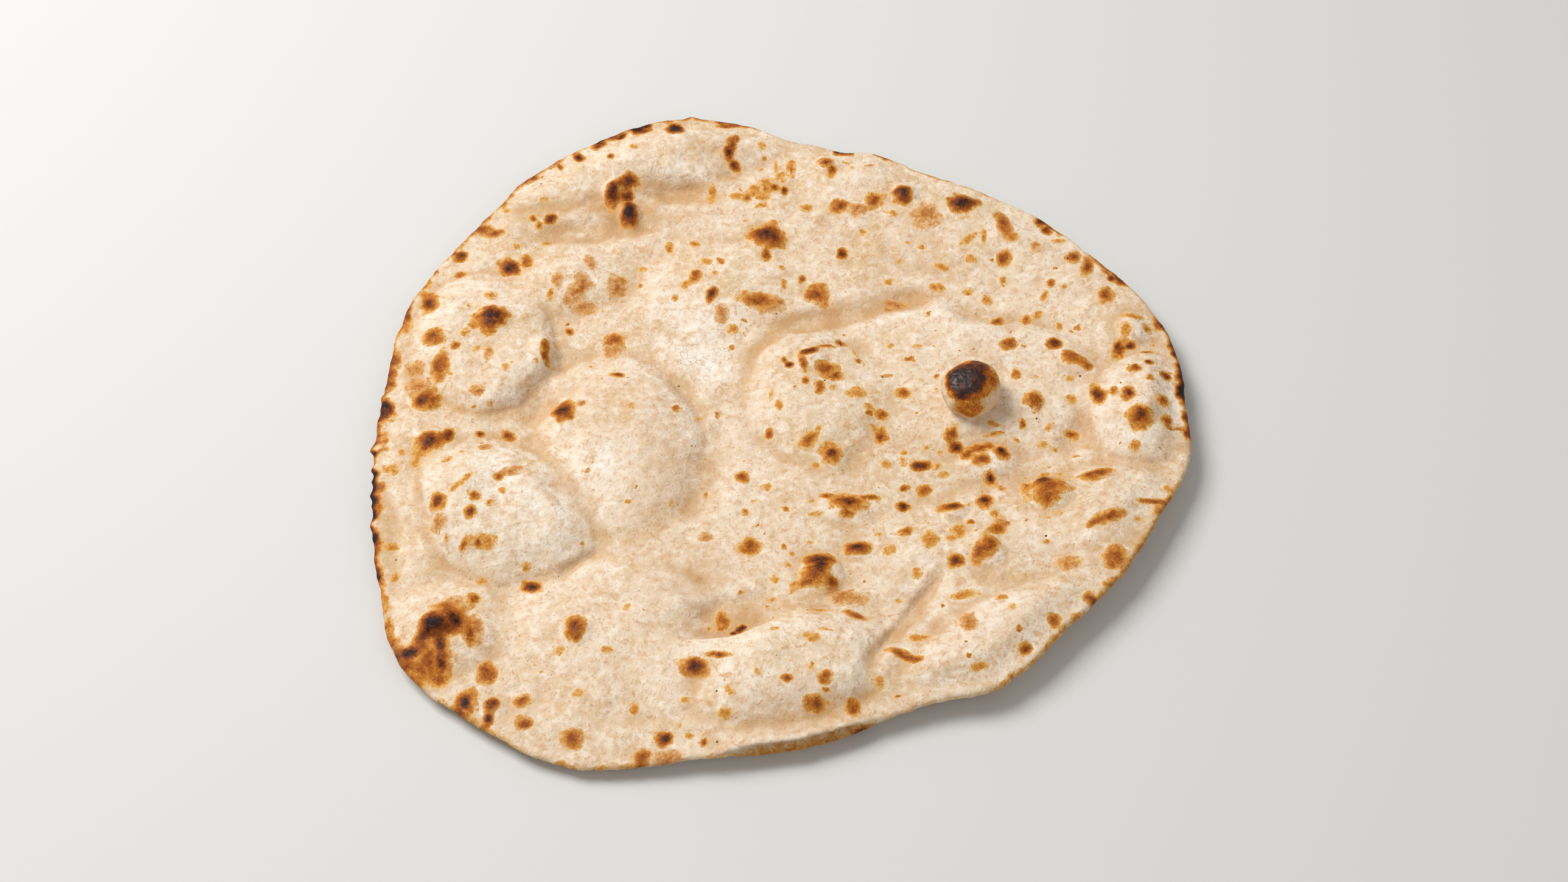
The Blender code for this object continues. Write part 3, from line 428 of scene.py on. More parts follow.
# How pale the raised crests are painted: partly flour, partly painted light on the tops.
CREST_DUST_AND_LIGHT = 0.45
# How tan the valleys are painted: partly bare crust, partly painted shade.
VALLEY_BARE_AND_SHADE = 0.7
UNDER_BARE = 0.25  # the underside is this bare,
UNDER_FLECKED = 0.6  # this flecked,
UNDER_TOAST = 0.9  # and takes this share of the rim's toast

# Where flour lies on the skin (DUST), and where the skin is painted tan (BARE_AND_SHADE), partly because
# it is bare and warm and partly as painted shade in valleys and on the shaded sides of mounds: x, y,
# half sizes, turn, amount.
DUST = (
    (-33, 36, 20, 24, 20, 0.75), (-24, 46, 12, 9, 20, 0.9), (-26, 22, 13, 9, 0, 1.0),
    (-46, 50, 4, 22, 12, 0.6), (-92, -36, 34, 24, -25, 0.85), (-72, -26, 22, 16, 20, 0.7),
    (-50, -72, 26, 16, 0, 0.30), (66, 22, 34, 18, 0, 0.15), (-142, -48, 9, 30, 5, 0.25),
    (16, -50, 30, 12, 0, 0.18), (-10, -105, 34, 12, 12, 0.10), (-95, 10, 20, 7, 30, 0.3),
    (110, -2, 12, 20, 0, 0.2),
)  # fmt: skip
# Most of these ovals lie in valleys, in hollows and on the shaded side of the large pillow, where their
# tan is painted shade as well as bare crust.
BARE_AND_SHADE = (
    (-70, 96, 46, 13, 10, 0.95), (-38, 107, 22, 8, -8, 0.8), (-27, 124, 16, 9, 0, 0.6),
    (2, 38, 15, 8, 30, 0.9), (14, 47, 26, 8, 14, 0.95), (46, 55, 20, 8, 0, 0.85),
    (-42, -32, 14, 24, -20, 0.6), (-34, -72, 20, 20, 20, 0.55), (-20, -86, 14, 9, 10, 0.8),
    (50, 78, 30, 18, -10, 0.35), (-96, 12, 18, 5, 38, 0.3), (-86, 22, 6, 12, 0, 0.6),
    (10, -122, 30, 8, 12, 0.5), (-62, 0, 22, 22, 0, 0.18), (118, -8, 6, 14, 20, 0.2),
    (44, -88, 10, 12, 60, 0.4), (-110, 2, 16, 4, 20, 0.4),
)  # fmt: skip

# Where the flour lies so thick that it cracked.
CRACKED = ((-35, 27, 10, 12, 20, 1.0), (-22, 30, 8, 9, 0, 0.8))

# Toast along the rim: middle and half width in degrees, how far it reaches in from the very edge,
# and bake level.
RIM_TOAST = (
    (0.0, 360.0, 1.6, 0.12), (187.0, 27.0, 3.6, 0.58), (180.5, 2.2, 6.0, 1.0),
    (187.0, 1.6, 4.4, 1.1), (192.5, 4.5, 2.6, 1.1), (199.0, 3.0, 2.6, 1.05), (205.0, 3.0, 2.2, 0.9),
    (145.0, 26.0, 2.4, 0.44), (110.0, 10.0, 2.6, 0.44), (118.0, 2.6, 4.6, 0.86),
    (112.0, 2.0, 4.4, 0.9), (97.0, 4.0, 4.2, 0.66), (79.0, 2.0, 3.0, 0.8), (72.0, 2.0, 2.6, 0.7),
    (161.0, 1.6, 3.6, 0.96), (152.0, 2.0, 2.6, 0.66), (217.0, 5.0, 4.0, 0.46),
    (232.0, 8.0, 2.0, 0.2), (250.0, 10.0, 1.8, 0.2), (8.0, 9.0, 3.2, 0.86), (357.0, 2.0, 5.4, 0.92),
    (335.0, 14.0, 2.2, 0.34), (310.0, 12.0, 2.0, 0.26), (60.0, 12.0, 2.0, 0.24),
    (40.0, 3.0, 4.4, 0.7), (27.0, 4.0, 4.0, 0.6),
)  # fmt: skip
RIM_PATCHES = ((9.0, 1.1), (3.4, 0.9))  # the toast comes in patches of these sizes and strengths
PATCHY_REACH = (0.8, 0.45, 1.7)  # how much they change its reach, with the least and the most share
PATCHY_LEVEL = (0.5, 0.40, 1.3)  # the same for its bake level
ARC_ENDS = (0.60, 1.15)  # an arc dies away between these shares of its half width
TOAST_FADE = (0.15, 1.25)  # and its toast between these shares of its reach
LIP_TOAST = 0.36  # the lower skin inside the split lip baked to a dull orange,
LIP_DULLER = 0.5  # which loses this share of its amber

# Marks on the knob: height and turn of their middle in degrees, half width in degrees, level.
KNOB_MARKS = ((79, 270, 60, 0.66), (73, 212, 52, 1.00), (62, 60, 26, 0.86), (11, 262, 34, 0.40))
KNOB_TOAST = 0.05  # the rest of the ball is a toasted cream
KNOB_BARE_SPOT = (40, 309, 22, 0.20)  # the char has flaked here and shows orange

# Random scorch marks on the underside: ranges that are drawn from.
UNDERSIDE_MARKS = 150
UNDERSIDE_SIZES = (2.5, 11.0)
UNDERSIDE_SMALLER = 1.8  # the higher, the more of them are small
UNDERSIDE_STRETCH = (0.75, 1.35)
UNDERSIDE_LEVELS = (0.34, 0.92)
UNDERSIDE_HUE = 0.5
UNDERSIDE_OUT = 148.0  # millimetres from the middle, at most
UNDERSIDE_DRAW = 21  # starts the random draws

MARK_BOX = (1.6, 0.8)  # a mark is worked out over this share of its half size and so many mm more
MARK_EDGE = 1.30  # share of a mark's reach where it has died away
MARK_DOME = 1.4  # the higher, the more of a mark is as dark as its middle
WARP = ((9.0, 0.8), (4.0, 0.6))  # millimetres across and aside, how the marks' outlines wander
SMALLEST = 0.9  # millimetres from a mark's middle to its edge, at least
RAGGED = ((6.5, 0.50), (3.2, 0.38))  # millimetres across and share, how ragged the marks' edges are
RAGGED_LEAST = 0.25  # share of that raggedness on the smallest marks,
RAGGED_GAIN = 0.10  # and what each further millimetre of half width adds, up to all of it
PLAIN_HUE = 0.6  # where no mark lies
RISE_SHARE = 0.055  # a mark stands this share of its width above the skin, as a low blister
RISE_LIMIT = 0.55  # millimetres, at most


def smooth(value, low, high):
    """0 below low, 1 above high, and an S-shaped rise between them."""
    share = np.clip((value - low) / (high - low), 0.0, 1.0)
    return share * share * (3.0 - 2.0 * share)


def round_curve(knots, degrees):
    """Reads the closed smooth curve through (degrees, value) knots at an array of degrees."""
    at = np.array([knot[0] for knot in knots], float)
    value = np.array([knot[1] for knot in knots], float)
    at = np.concatenate((at - 360.0, at, at + 360.0))
    value = np.tile(value, 3)
    slope = np.gradient(value, at)
    degrees = np.mod(degrees, 360.0)
    left = np.searchsorted(at, degrees, side="right") - 1
    span = at[left + 1] - at[left]
    t = (degrees - at[left]) / span
    start = (2 * t**3 - 3 * t**2 + 1) * value[left] + (t**3 - 2 * t**2 + t) * span * slope[left]
    end = (3 * t**2 - 2 * t**3) * value[left + 1] + (t**3 - t**2) * span * slope[left + 1]
    return start + end


def angle_apart(degrees, middle):
    """How far an angle is from a middle one, the short way round."""
    return np.mod(degrees - middle + 180.0, 360.0) - 180.0


def lumps(x, y, sizes, seed):
    """Soft irregular lumps, given as (size across, height) pairs."""
    total = np.zeros_like(x)
    for size, height in sizes:
        wave = [noise.noise(Vector((a / size, b / size, seed))) for a, b in zip(x, y)]
        total += height * np.array(wave)
        seed += NEXT_SEED
    return total


def around_middle(x, y, form):
    """How far the points x, y are from an oval's middle, where 1 is its edge."""
    middle_x, middle_y, half_length, half_width, turn = form
    c = math.cos(math.radians(turn))
    s = math.sin(math.radians(turn))
    along = ((x - middle_x) * c + (y - middle_y) * s) / half_length
    across = ((y - middle_y) * c - (x - middle_x) * s) / half_width
    return np.sqrt(along**2 + across**2)


def pillow(x, y, form, foot=PILLOW_FOOT):
    """The height of one mound or blister, or the depth of a hollow, at the points x, y."""
    away = around_middle(x, y, form[:5])
    return form[5] * np.clip(1.0 - away ** form[6], 0.0, 1.0) ** foot


def beside_path(x, y, points):
    """The distance to a path, positive on its left, and how far along it from 0 to 1."""
    nearest = np.full_like(x, np.inf)
    signed = np.zeros_like(x)
    along = np.zeros_like(x)
    steps = len(points) - 1
    for step in range(steps):
        start = np.array(points[step], float)
        run = np.array(points[step + 1], float) - start
        share = ((x - start[0]) * run[0] + (y - start[1]) * run[1]) / run.dot(run)
        share = np.clip(share, 0.0, 1.0)
        dx = x - start[0] - share * run[0]
        dy = y - start[1] - share * run[1]
        distance = np.hypot(dx, dy)
        closer = distance < nearest
        side = np.where(run[0] * dy - run[1] * dx >= 0.0, 1.0, -1.0)
        nearest = np.where(closer, distance, nearest)
        signed = np.where(closer, side * distance, signed)
        along = np.where(closer, (step + share) / steps, along)
    return signed, along


def fading_ends(along):
    """1 along the middle of a path, falling to 0 at both of its ends."""
    return np.sin(math.pi * np.clip(along, FADE_MARGIN, 1.0 - FADE_MARGIN)) ** FADE_POWER


def relief(x, y):
    """How far the top skin stands above the plain thickness of dough."""
    mounds = np.zeros_like(x)
    for mound in MOUNDS:
        mounds += pillow(x, y, mound) ** MERGE
    height = mounds ** (1.0 / MERGE)
    for blister in BLISTERS:
        height += pillow(x, y, blister)
    for hollow in HOLLOWS:
        height -= pillow(x, y, hollow, HOLLOW_FOOT)
    for tall, steep, gentle, points in FOLDS:
        signed, along = beside_path(x, y, points)
        width = np.where(signed > 0.0, steep, gentle)
        height += tall * np.exp(-((signed / width) ** 2)) * fading_ends(along)
    for depth, half_width, points in CREASES:
        signed, along = beside_path(x, y, points)
        height -= depth * np.exp(-((signed / half_width) ** 2)) * fading_ends(along)
    return height + lumps(x, y, SKIN_LUMPS, SKIN_SEED)


def rim_reach(degrees):
    """The distance from the middle to the rim, with its small crags."""
    reach = round_curve(RIM_REACH, degrees)
    x = reach * np.cos(np.radians(degrees))
    y = reach * np.sin(np.radians(degrees))
    reach = reach + lumps(x, y, RIM_LUMPS, RIM_SEED)
    for where, stand_out, half_width in RIM_CRAGS:
        reach = reach + stand_out * np.exp(-((angle_apart(degrees, where) / half_width) ** 2))
    return reach


def underside(x, y, share, degrees):
    """The height of the underside: flat on the table, then curling up to the rim."""
    curl = smooth(share, REST_SHARE, CURL_END) / smooth(np.ones(1), REST_SHARE, CURL_END)
    wavy = smooth(share, REST_SHARE, REST_SHARE + WAVY_RISE)
    uneven = lumps(x, y, UNDERSIDE_LUMPS, UNDERSIDE_SEED)
    return np.maximum(round_curve(RIM_LIFT, degrees) * curl + wavy * uneven, 0.0)


def lip(degrees):
    """1 in the middle of the split lip and 0 away from it."""
    apart = np.abs(angle_apart(degrees, LIP_MIDDLE))
    return 1.0 - smooth(apart, LIP_FULL_SHARE * LIP_HALF_WIDTH, LIP_HALF_WIDTH)


def skin_heights(x, y, share, degrees):
    """The heights of the underside and of the top skin at the points x, y."""
    low = underside(x, y, share, degrees)
    inside = (1.0 - share) * rim_reach(degrees)
    near_rim = smooth(inside, 0.0, RELIEF_FADE)
    dough = RIM_THICKNESS + (DOUGH_THICKNESS - RIM_THICKNESS) * near_rim
    lifted_lip = LIP_TOP_LIFT * lip(degrees) * (1.0 - near_rim)
    share_of_relief = RIM_RELIEF + (1.0 - RIM_RELIEF) * near_rim
    high = low + dough + relief(x, y) * share_of_relief + lifted_lip
    return low, np.maximum(high, low + THINNEST)


def square_to_round(u, v):
    """Turns places in the square sheet into (share of the way out, degrees)."""
    share = np.maximum(np.abs(u), np.abs(v))
    sideways = np.abs(u) >= np.abs(v)
    across = 45.0 * v / np.where(sideways & (u != 0.0), u, 1.0)
    upward = 90.0 - 45.0 * u / np.where(~sideways, v, 1.0)
    degrees = np.where(sideways, across, upward)
    behind = np.where(sideways, u < 0.0, v < 0.0)
    return share, degrees + 180.0 * behind


def sheet_with_edge():
    """A square sheet drawn into a slab: its height, from 0 to 1, tells the skins and rim loops apart."""
    mesh = bmesh.new()
    bmesh.ops.create_grid(mesh, x_segments=GRID, y_segments=GRID, size=1.0)
    grown = bmesh.ops.extrude_face_region(mesh, geom=mesh.faces[:], use_keep_orig=True)["geom"]
    raised = [item for item in grown if isinstance(item, bmesh.types.BMVert)]
    bmesh.ops.translate(mesh, vec=(0.0, 0.0, 1.0), verts=raised)
    standing = [edge for edge in mesh.edges if abs(edge.verts[0].co.z - edge.verts[1].co.z) > 0.5]
    bmesh.ops.subdivide_edges(mesh, edges=standing, cuts=RIM_CUTS)
    return mesh


def gathered(x, y):
    """Draws the sheet's points in towards the knob. Returns their places, shares and degrees."""
    dx = x - KNOB_CENTRE[0]
    dy = y - KNOB_CENTRE[1]
    pull = GATHER_PULL * np.exp(-(dx**2 + dy**2) / GATHER_REACH**2)
    x = x - dx * pull
    y = y - dy * pull
    degrees = np.degrees(np.arctan2(y, x))
    share = np.hypot(x, y) / (rim_reach(degrees) - RIM_ROUND)
    return x, y, np.clip(share, 0.0, 1.0), degrees


def settle(x, y):
    """Moves places on the slanted plan onto the bread's top skin."""
    slide = 1.0 / math.tan(math.radians(SLANT))
    settled = y.copy()
    for _ in range(4):
        degrees = np.degrees(np.arctan2(settled, x))
        share = np.clip(np.hypot(x, settled) / rim_reach(degrees), 0.0, 1.0)
        high = skin_heights(x, settled, share, degrees)[1]
        settled = y - slide * (high - PLAN_HEIGHT)
    return settled


def all_marks():
    """Every scorch mark on the top skin as (x, y, half sizes, turn, level, hue)."""
    marks = []
    for kind, ovals in MARKS.items():
        level, hue = KINDS[kind]
        for x, y, across, along, *turned in ovals:
            turn = sum(turned)
            half_across = max(SMALLEST, MARK_SCALE[0] * across / 2)
            half_along = max(SMALLEST, MARK_SCALE[1] * along / 2)
            marks.append((x, y, half_across, half_along, turn, level, hue))
    places = np.array([mark[:2] for mark in marks])
    settled = settle(places[:, 0], places[:, 1])
    return [(mark[0], y, *mark[2:]) for mark, y in zip(marks, settled)]


def underside_marks():
    """Random scorch marks for the side that nobody planned."""
    draw = random.Random(UNDERSIDE_DRAW)
    smallest, largest = UNDERSIDE_SIZES
    marks = []
    for _ in range(UNDERSIDE_MARKS):
        turn = draw.uniform(0, 360)
        out = UNDERSIDE_OUT * math.sqrt(draw.random())
        size = smallest + (largest - smallest) * draw.random() ** UNDERSIDE_SMALLER
        stretch = draw.uniform(*UNDERSIDE_STRETCH)
        level = draw.uniform(*UNDERSIDE_LEVELS)
        place = (out * math.cos(math.radians(turn)), out * math.sin(math.radians(turn)))
        halves = (size * stretch / 2, size / stretch / 2)
        marks.append((*place, *halves, draw.uniform(0, 180), level, UNDERSIDE_HUE))
    return marks


def bake_marks(x, y, marks, ragged):
    """Bake level, hue and blister height that the marks give at the points x, y."""
    level = np.zeros_like(x)
    hue = np.full_like(x, PLAIN_HUE)
    rise = np.zeros_like(x)
    for mark_x, mark_y, half_across, half_along, turn, core, amber in marks:
        reach = MARK_BOX[0] * max(half_across, half_along) + MARK_BOX[1]
        near = (np.abs(x - mark_x) < reach) & (np.abs(y - mark_y) < reach)
        if not near.any():
            continue
        away = around_middle(x[near], y[near], (mark_x, mark_y, half_across, half_along, turn))
        size = min(half_across, half_along)
        away = away * (1.0 + ragged[near] * min(1.0, RAGGED_LEAST + RAGGED_GAIN * size))
        bake = core * np.clip(1.0 - (away / MARK_EDGE) ** MARK_DOME, 0.0, 1.0)
        stronger = bake > level[near]
        hue[near] = np.where(stronger, amber, hue[near])
        level[near] = np.maximum(level[near], bake)
        bump = min(RISE_LIMIT, RISE_SHARE * 2.0 * size) * np.clip(1.0 - away**2, 0.0, 1.0)
        rise[near] = np.maximum(rise[near], bump)
    return level, hue, rise


def bake_rim(x, y, from_edge, degrees):
    """Bake level along the rim, patchy and darker where the RIM_TOAST arcs lie."""
    patchy = lumps(x, y, RIM_PATCHES, TOAST_SEED)

    def uneven(gain, least, most):
        return np.clip(1.0 + gain * patchy, least, most)

    level = np.zeros_like(x)
    for middle, half_width, reach_in, core in RIM_TOAST:
        apart = np.abs(angle_apart(degrees, middle))
        along = 1.0 - smooth(apart, ARC_ENDS[0] * half_width, ARC_ENDS[1] * half_width)
        depth = reach_in * uneven(*PATCHY_REACH)
        edge = 1.0 - smooth(from_edge, TOAST_FADE[0] * depth, TOAST_FADE[1] * depth)
        level = np.maximum(level, core * uneven(*PATCHY_LEVEL) * along * edge)
    return level


def direction(height, turn):
    """The unit vector at this many degrees above the level and round from +X."""
    height = math.radians(height)
    turn = math.radians(turn)
    level = math.cos(height)
    return (level * math.cos(turn), level * math.sin(turn), math.sin(height))


def swell_knob(x, y, high):
    """Moves the top skin round the knob's centre onto the ball. Returns which points, and which way
    they face from the ball's middle, dying down to nothing across the collar."""
    dx = x - KNOB_CENTRE[0]
    dy = y - KNOB_CENTRE[1]
    distance = np.hypot(dx, dy)
    stretched = distance < KNOB_FOOT
    share = distance[stretched] / KNOB_FOOT
    around = np.arctan2(dy[stretched], dx[stretched])
    knobbly = lumps(x[stretched], y[stretched], KNOB_LUMPS, KNOB_SEED)
    radius = KNOB_RADIUS * (1.0 + knobbly)
    on_ball = np.clip(share / KNOB_COLLAR_START, 0.0, 1.0)
    tilt = np.radians(90.0 - (90.0 + KNOB_NECK_ANGLE) * on_ball)
    neck_drop = KNOB_FLATTEN * math.sin(math.radians(KNOB_NECK_ANGLE))
    rise = radius * (KNOB_FLATTEN * np.sin(tilt) + neck_drop + KNOB_NECK_HEIGHT)
    collar = smooth(share, KNOB_COLLAR_START, 1.0)
    reach = radius * np.cos(tilt) * (1.0 - collar) + KNOB_FOOT * collar
    seat = high[stretched].mean() * (1.0 - share**2) + high[stretched] * share**2
    level = np.cos(tilt)
    facing = np.stack((level * np.cos(around), level * np.sin(around), np.sin(tilt)), axis=1)
    x[stretched] = KNOB_CENTRE[0] + reach * np.cos(around)
    y[stretched] = KNOB_CENTRE[1] + reach * np.sin(around)
    high[stretched] = seat + rise * (1.0 - collar)
    return stretched, facing * (1.0 - collar)[:, None]


def spread(x, y, ovals):
    """The strongest of several soft ovals at the points x, y."""
    total = np.zeros_like(x)
    for form in ovals:
        away = around_middle(x, y, form[:5])
        total = np.maximum(total, form[5] * (1.0 - smooth(away, *OVAL_FADE)))
    return total


def what_the_oven_did(x, y, level, inside, degrees):
    """The crust's looks at every point, by name, and how high the marks stand as low blisters."""
    upper = level > LOOKS_TOP
    ragged = lumps(x, y, RAGGED, RAGGED_SEED)
    wavy_x = x + lumps(x, y, WARP, WARP_SEEDS[0])
    wavy_y = y + lumps(x, y, WARP, WARP_SEEDS[1])
    bake, hue, rise = bake_marks(wavy_x, wavy_y, all_marks(), ragged)
    below, below_hue, _ = bake_marks(x, y, underside_marks(), ragged)

    on_rim = (level > SKIN_LEVEL) & (level < 1.0 - SKIN_LEVEL)
    round_the_edge = np.where(on_rim, 1.0 - np.cos(math.pi * (level - 0.5)), 1.0)
    toast = bake_rim(x, y, inside + RIM_ROUND * round_the_edge, degrees)

    # Painted shade and light: where the skin lies lower than it does around, the flour is taken away and
    # the skin is painted tan, as shade. Where it lies higher, it is painted paler, as light.
    ring = [relief(x + BROAD * math.cos(turn), y + BROAD * math.sin(turn)) for turn in RING_TURNS]
    sunken = sum(ring) / len(ring) - relief(x, y)
    valley = smooth(sunken, *VALLEY)
    dust_and_light = np.maximum(spread(x, y, DUST), CREST_DUST_AND_LIGHT * smooth(-sunken, *CREST))
    bare_and_shade = np.clip(spread(x, y, BARE_AND_SHADE) + VALLEY_BARE_AND_SHADE * valley, 0.0, 1.0)
    looks = {
        "bake": np.where(upper, np.maximum(bake, toast), np.maximum(below, toast * UNDER_TOAST)),
        "hue": np.where(upper, hue, below_hue),
        "dust_and_light": dust_and_light * (1.0 - valley) * upper,
        "bare_and_shade": np.where(upper, bare_and_shade, UNDER_BARE),
        "flour": spread(x, y, CRACKED) * upper,
        "flecked": np.where(upper, spread(x, y, FLECKED), UNDER_FLECKED),
    }
    return looks, rise


def bake_skin(mesh):
    """Moves every point of the slab onto the bread and returns what the oven did at each of them."""
    places = np.array([vert.co for vert in mesh.verts], float)
    level = places[:, 2]
    share, degrees = square_to_round(places[:, 0], places[:, 1])
    skin_reach = (rim_reach(degrees) - RIM_ROUND) * share
    x, y, share, degrees = gathered(
        skin_reach * np.cos(np.radians(degrees)), skin_reach * np.sin(np.radians(degrees))
    )
    low, high = skin_heights(x, y, share, degrees)
    top = level > 1.0 - SKIN_LEVEL
    bottom = level < SKIN_LEVEL
    rim = ~top & ~bottom

    inside = (1.0 - share) * rim_reach(degrees)
    looks, rise = what_the_oven_did(x, y, level, inside, degrees)
    fading = smooth(inside, 0.0, FINE_FADE)
    high = high + fading * (rise + lumps(x, y, FINE_LUMPS, FINE_SEED))
    pits = lumps(x, y, UNDERSIDE_PITS, PITS_SEED)
    low = np.where(low > 0.0, low + fading * pits, np.maximum(0.0, pits) * PITS_AT_REST)

    z = np.where(bottom, low, high)
    top_x, top_y, top_z = x[top], y[top], z[top]
    on_knob, knob_facing = swell_knob(top_x, top_y, top_z)
    x[top], y[top], z[top] = top_x, top_y, top_z
    facing = np.zeros((len(x), 3))
    facing[np.flatnonzero(top)[on_knob]] = knob_facing

    arc = math.pi * (level[rim] - 0.5)
    split = lip(degrees[rim])
    lower_skin = level[rim] < LIP_LOWER_LEVEL
    gap = np.exp(-(((level[rim] - LIP_GAP_LEVEL) / LIP_GAP_HEIGHT) ** 2))
    out = RIM_ROUND * np.cos(arc)
    out += split * LIP_STAND_OUT * np.where(lower_skin, 1.0 - level[rim], 0.0)
    out -= split * LIP_GAP * gap
    x[rim] += out * np.cos(np.radians(degrees[rim]))
    y[rim] += out * np.sin(np.radians(degrees[rim]))
    z[rim] = 0.5 * (low[rim] + high[rim]) + 0.5 * (high[rim] - low[rim]) * np.sin(arc)
    looks["bake"][rim] = np.maximum(looks["bake"][rim], split * LIP_TOAST * (level[rim] < 0.5))
    looks["hue"][rim] = looks["hue"][rim] * (1.0 - LIP_DULLER * split)

    for vert, a, b, c in zip(mesh.verts, x, y, z):
        vert.co = (a * MM, b * MM, c * MM)
    return looks, facing


def linear(hex_colour):
    """An sRGB hex colour as the linear RGBA that shaders take."""
    values = [int(hex_colour[i : i + 2], 16) / 255 for i in (1, 3, 5)]
    return (*[v / 12.92 if v <= 0.04045 else ((v + 0.055) / 1.055) ** 2.4 for v in values], 1.0)


def add(tree, kind, inputs=None, **settings):
    """Adds a shader node with its settings, and sets or links its inputs."""
    made = tree.nodes.new(kind)
    for name, value in settings.items():
        setattr(made, name, value)
    for name, value in (inputs or {}).items():
        if isinstance(value, bpy.types.NodeSocket):
            tree.links.new(value, made.inputs[name])
        else:
            made.inputs[name].default_value = value
    return made


BRAN_TURNS = (12.0, 71.0, 134.0)  # degrees, the ways in which bran husks lie
BRAN_CELL = (3.2 * MM, 1.2 * MM, 1.2 * MM)  # each has a place of this length and width
WANDER_LUMPS = 3.0  # millimetres, how fine the shift is that keeps cells from looking drawn
HUSK_SHIFT = 1.3  # how many millimetres it moves the husks,
CELL_SHIFT = 4.0  # and the cracks and golden flecks
FLECK_CELLS = ((8.0, 0.24), (4.8, 0.20))  # millimetres apart, and the widest as a share of that
BUMP_HEIGHT = 0.70 * MM

CREAM = "#E6CFB2"
WARM_CREAM = "#DABC95"
PALE_CREAM = "#F0E0CC"
BARE_AND_SHADE_TAN = "#C69B6A"
FLOUR_AND_LIGHT_WHITE = "#FAF3E7"
FLOURY = "#F9F0E3"
FLAKY_TAN = "#CFA074"
CLOUD_TAN = "#CE9A64"
BRAN_HUSK = "#B4764A"
BRAN_SPECK = "#96603F"
CRACK_TAN = "#B98E69"
SOOT = "#2B1C15"
CARD_WHITE = "#D9D8D5"
AIR_WHITE = "#F7F6F4"

# Baked wheat crust, from plain to charcoal, as (bake level, colour).
DULL_BAKE = (
    (0.00, "#E0BC90"), (0.16, "#D8AA76"), (0.30, "#CA9154"), (0.46, "#B26E36"),
    (0.62, "#934F20"), (0.78, "#703916"), (0.92, "#4A2613"), (1.00, "#2A1710"),
)  # fmt: skip
AMBER_BAKE = (
    (0.00, "#E9CB96"), (0.16, "#DFB06A"), (0.30, "#CF9040"), (0.46, "#B66C20"),
    (0.62, "#954C10"), (0.78, "#70360C"), (0.92, "#48220E"), (1.00, "#29160F"),
)  # fmt: skip


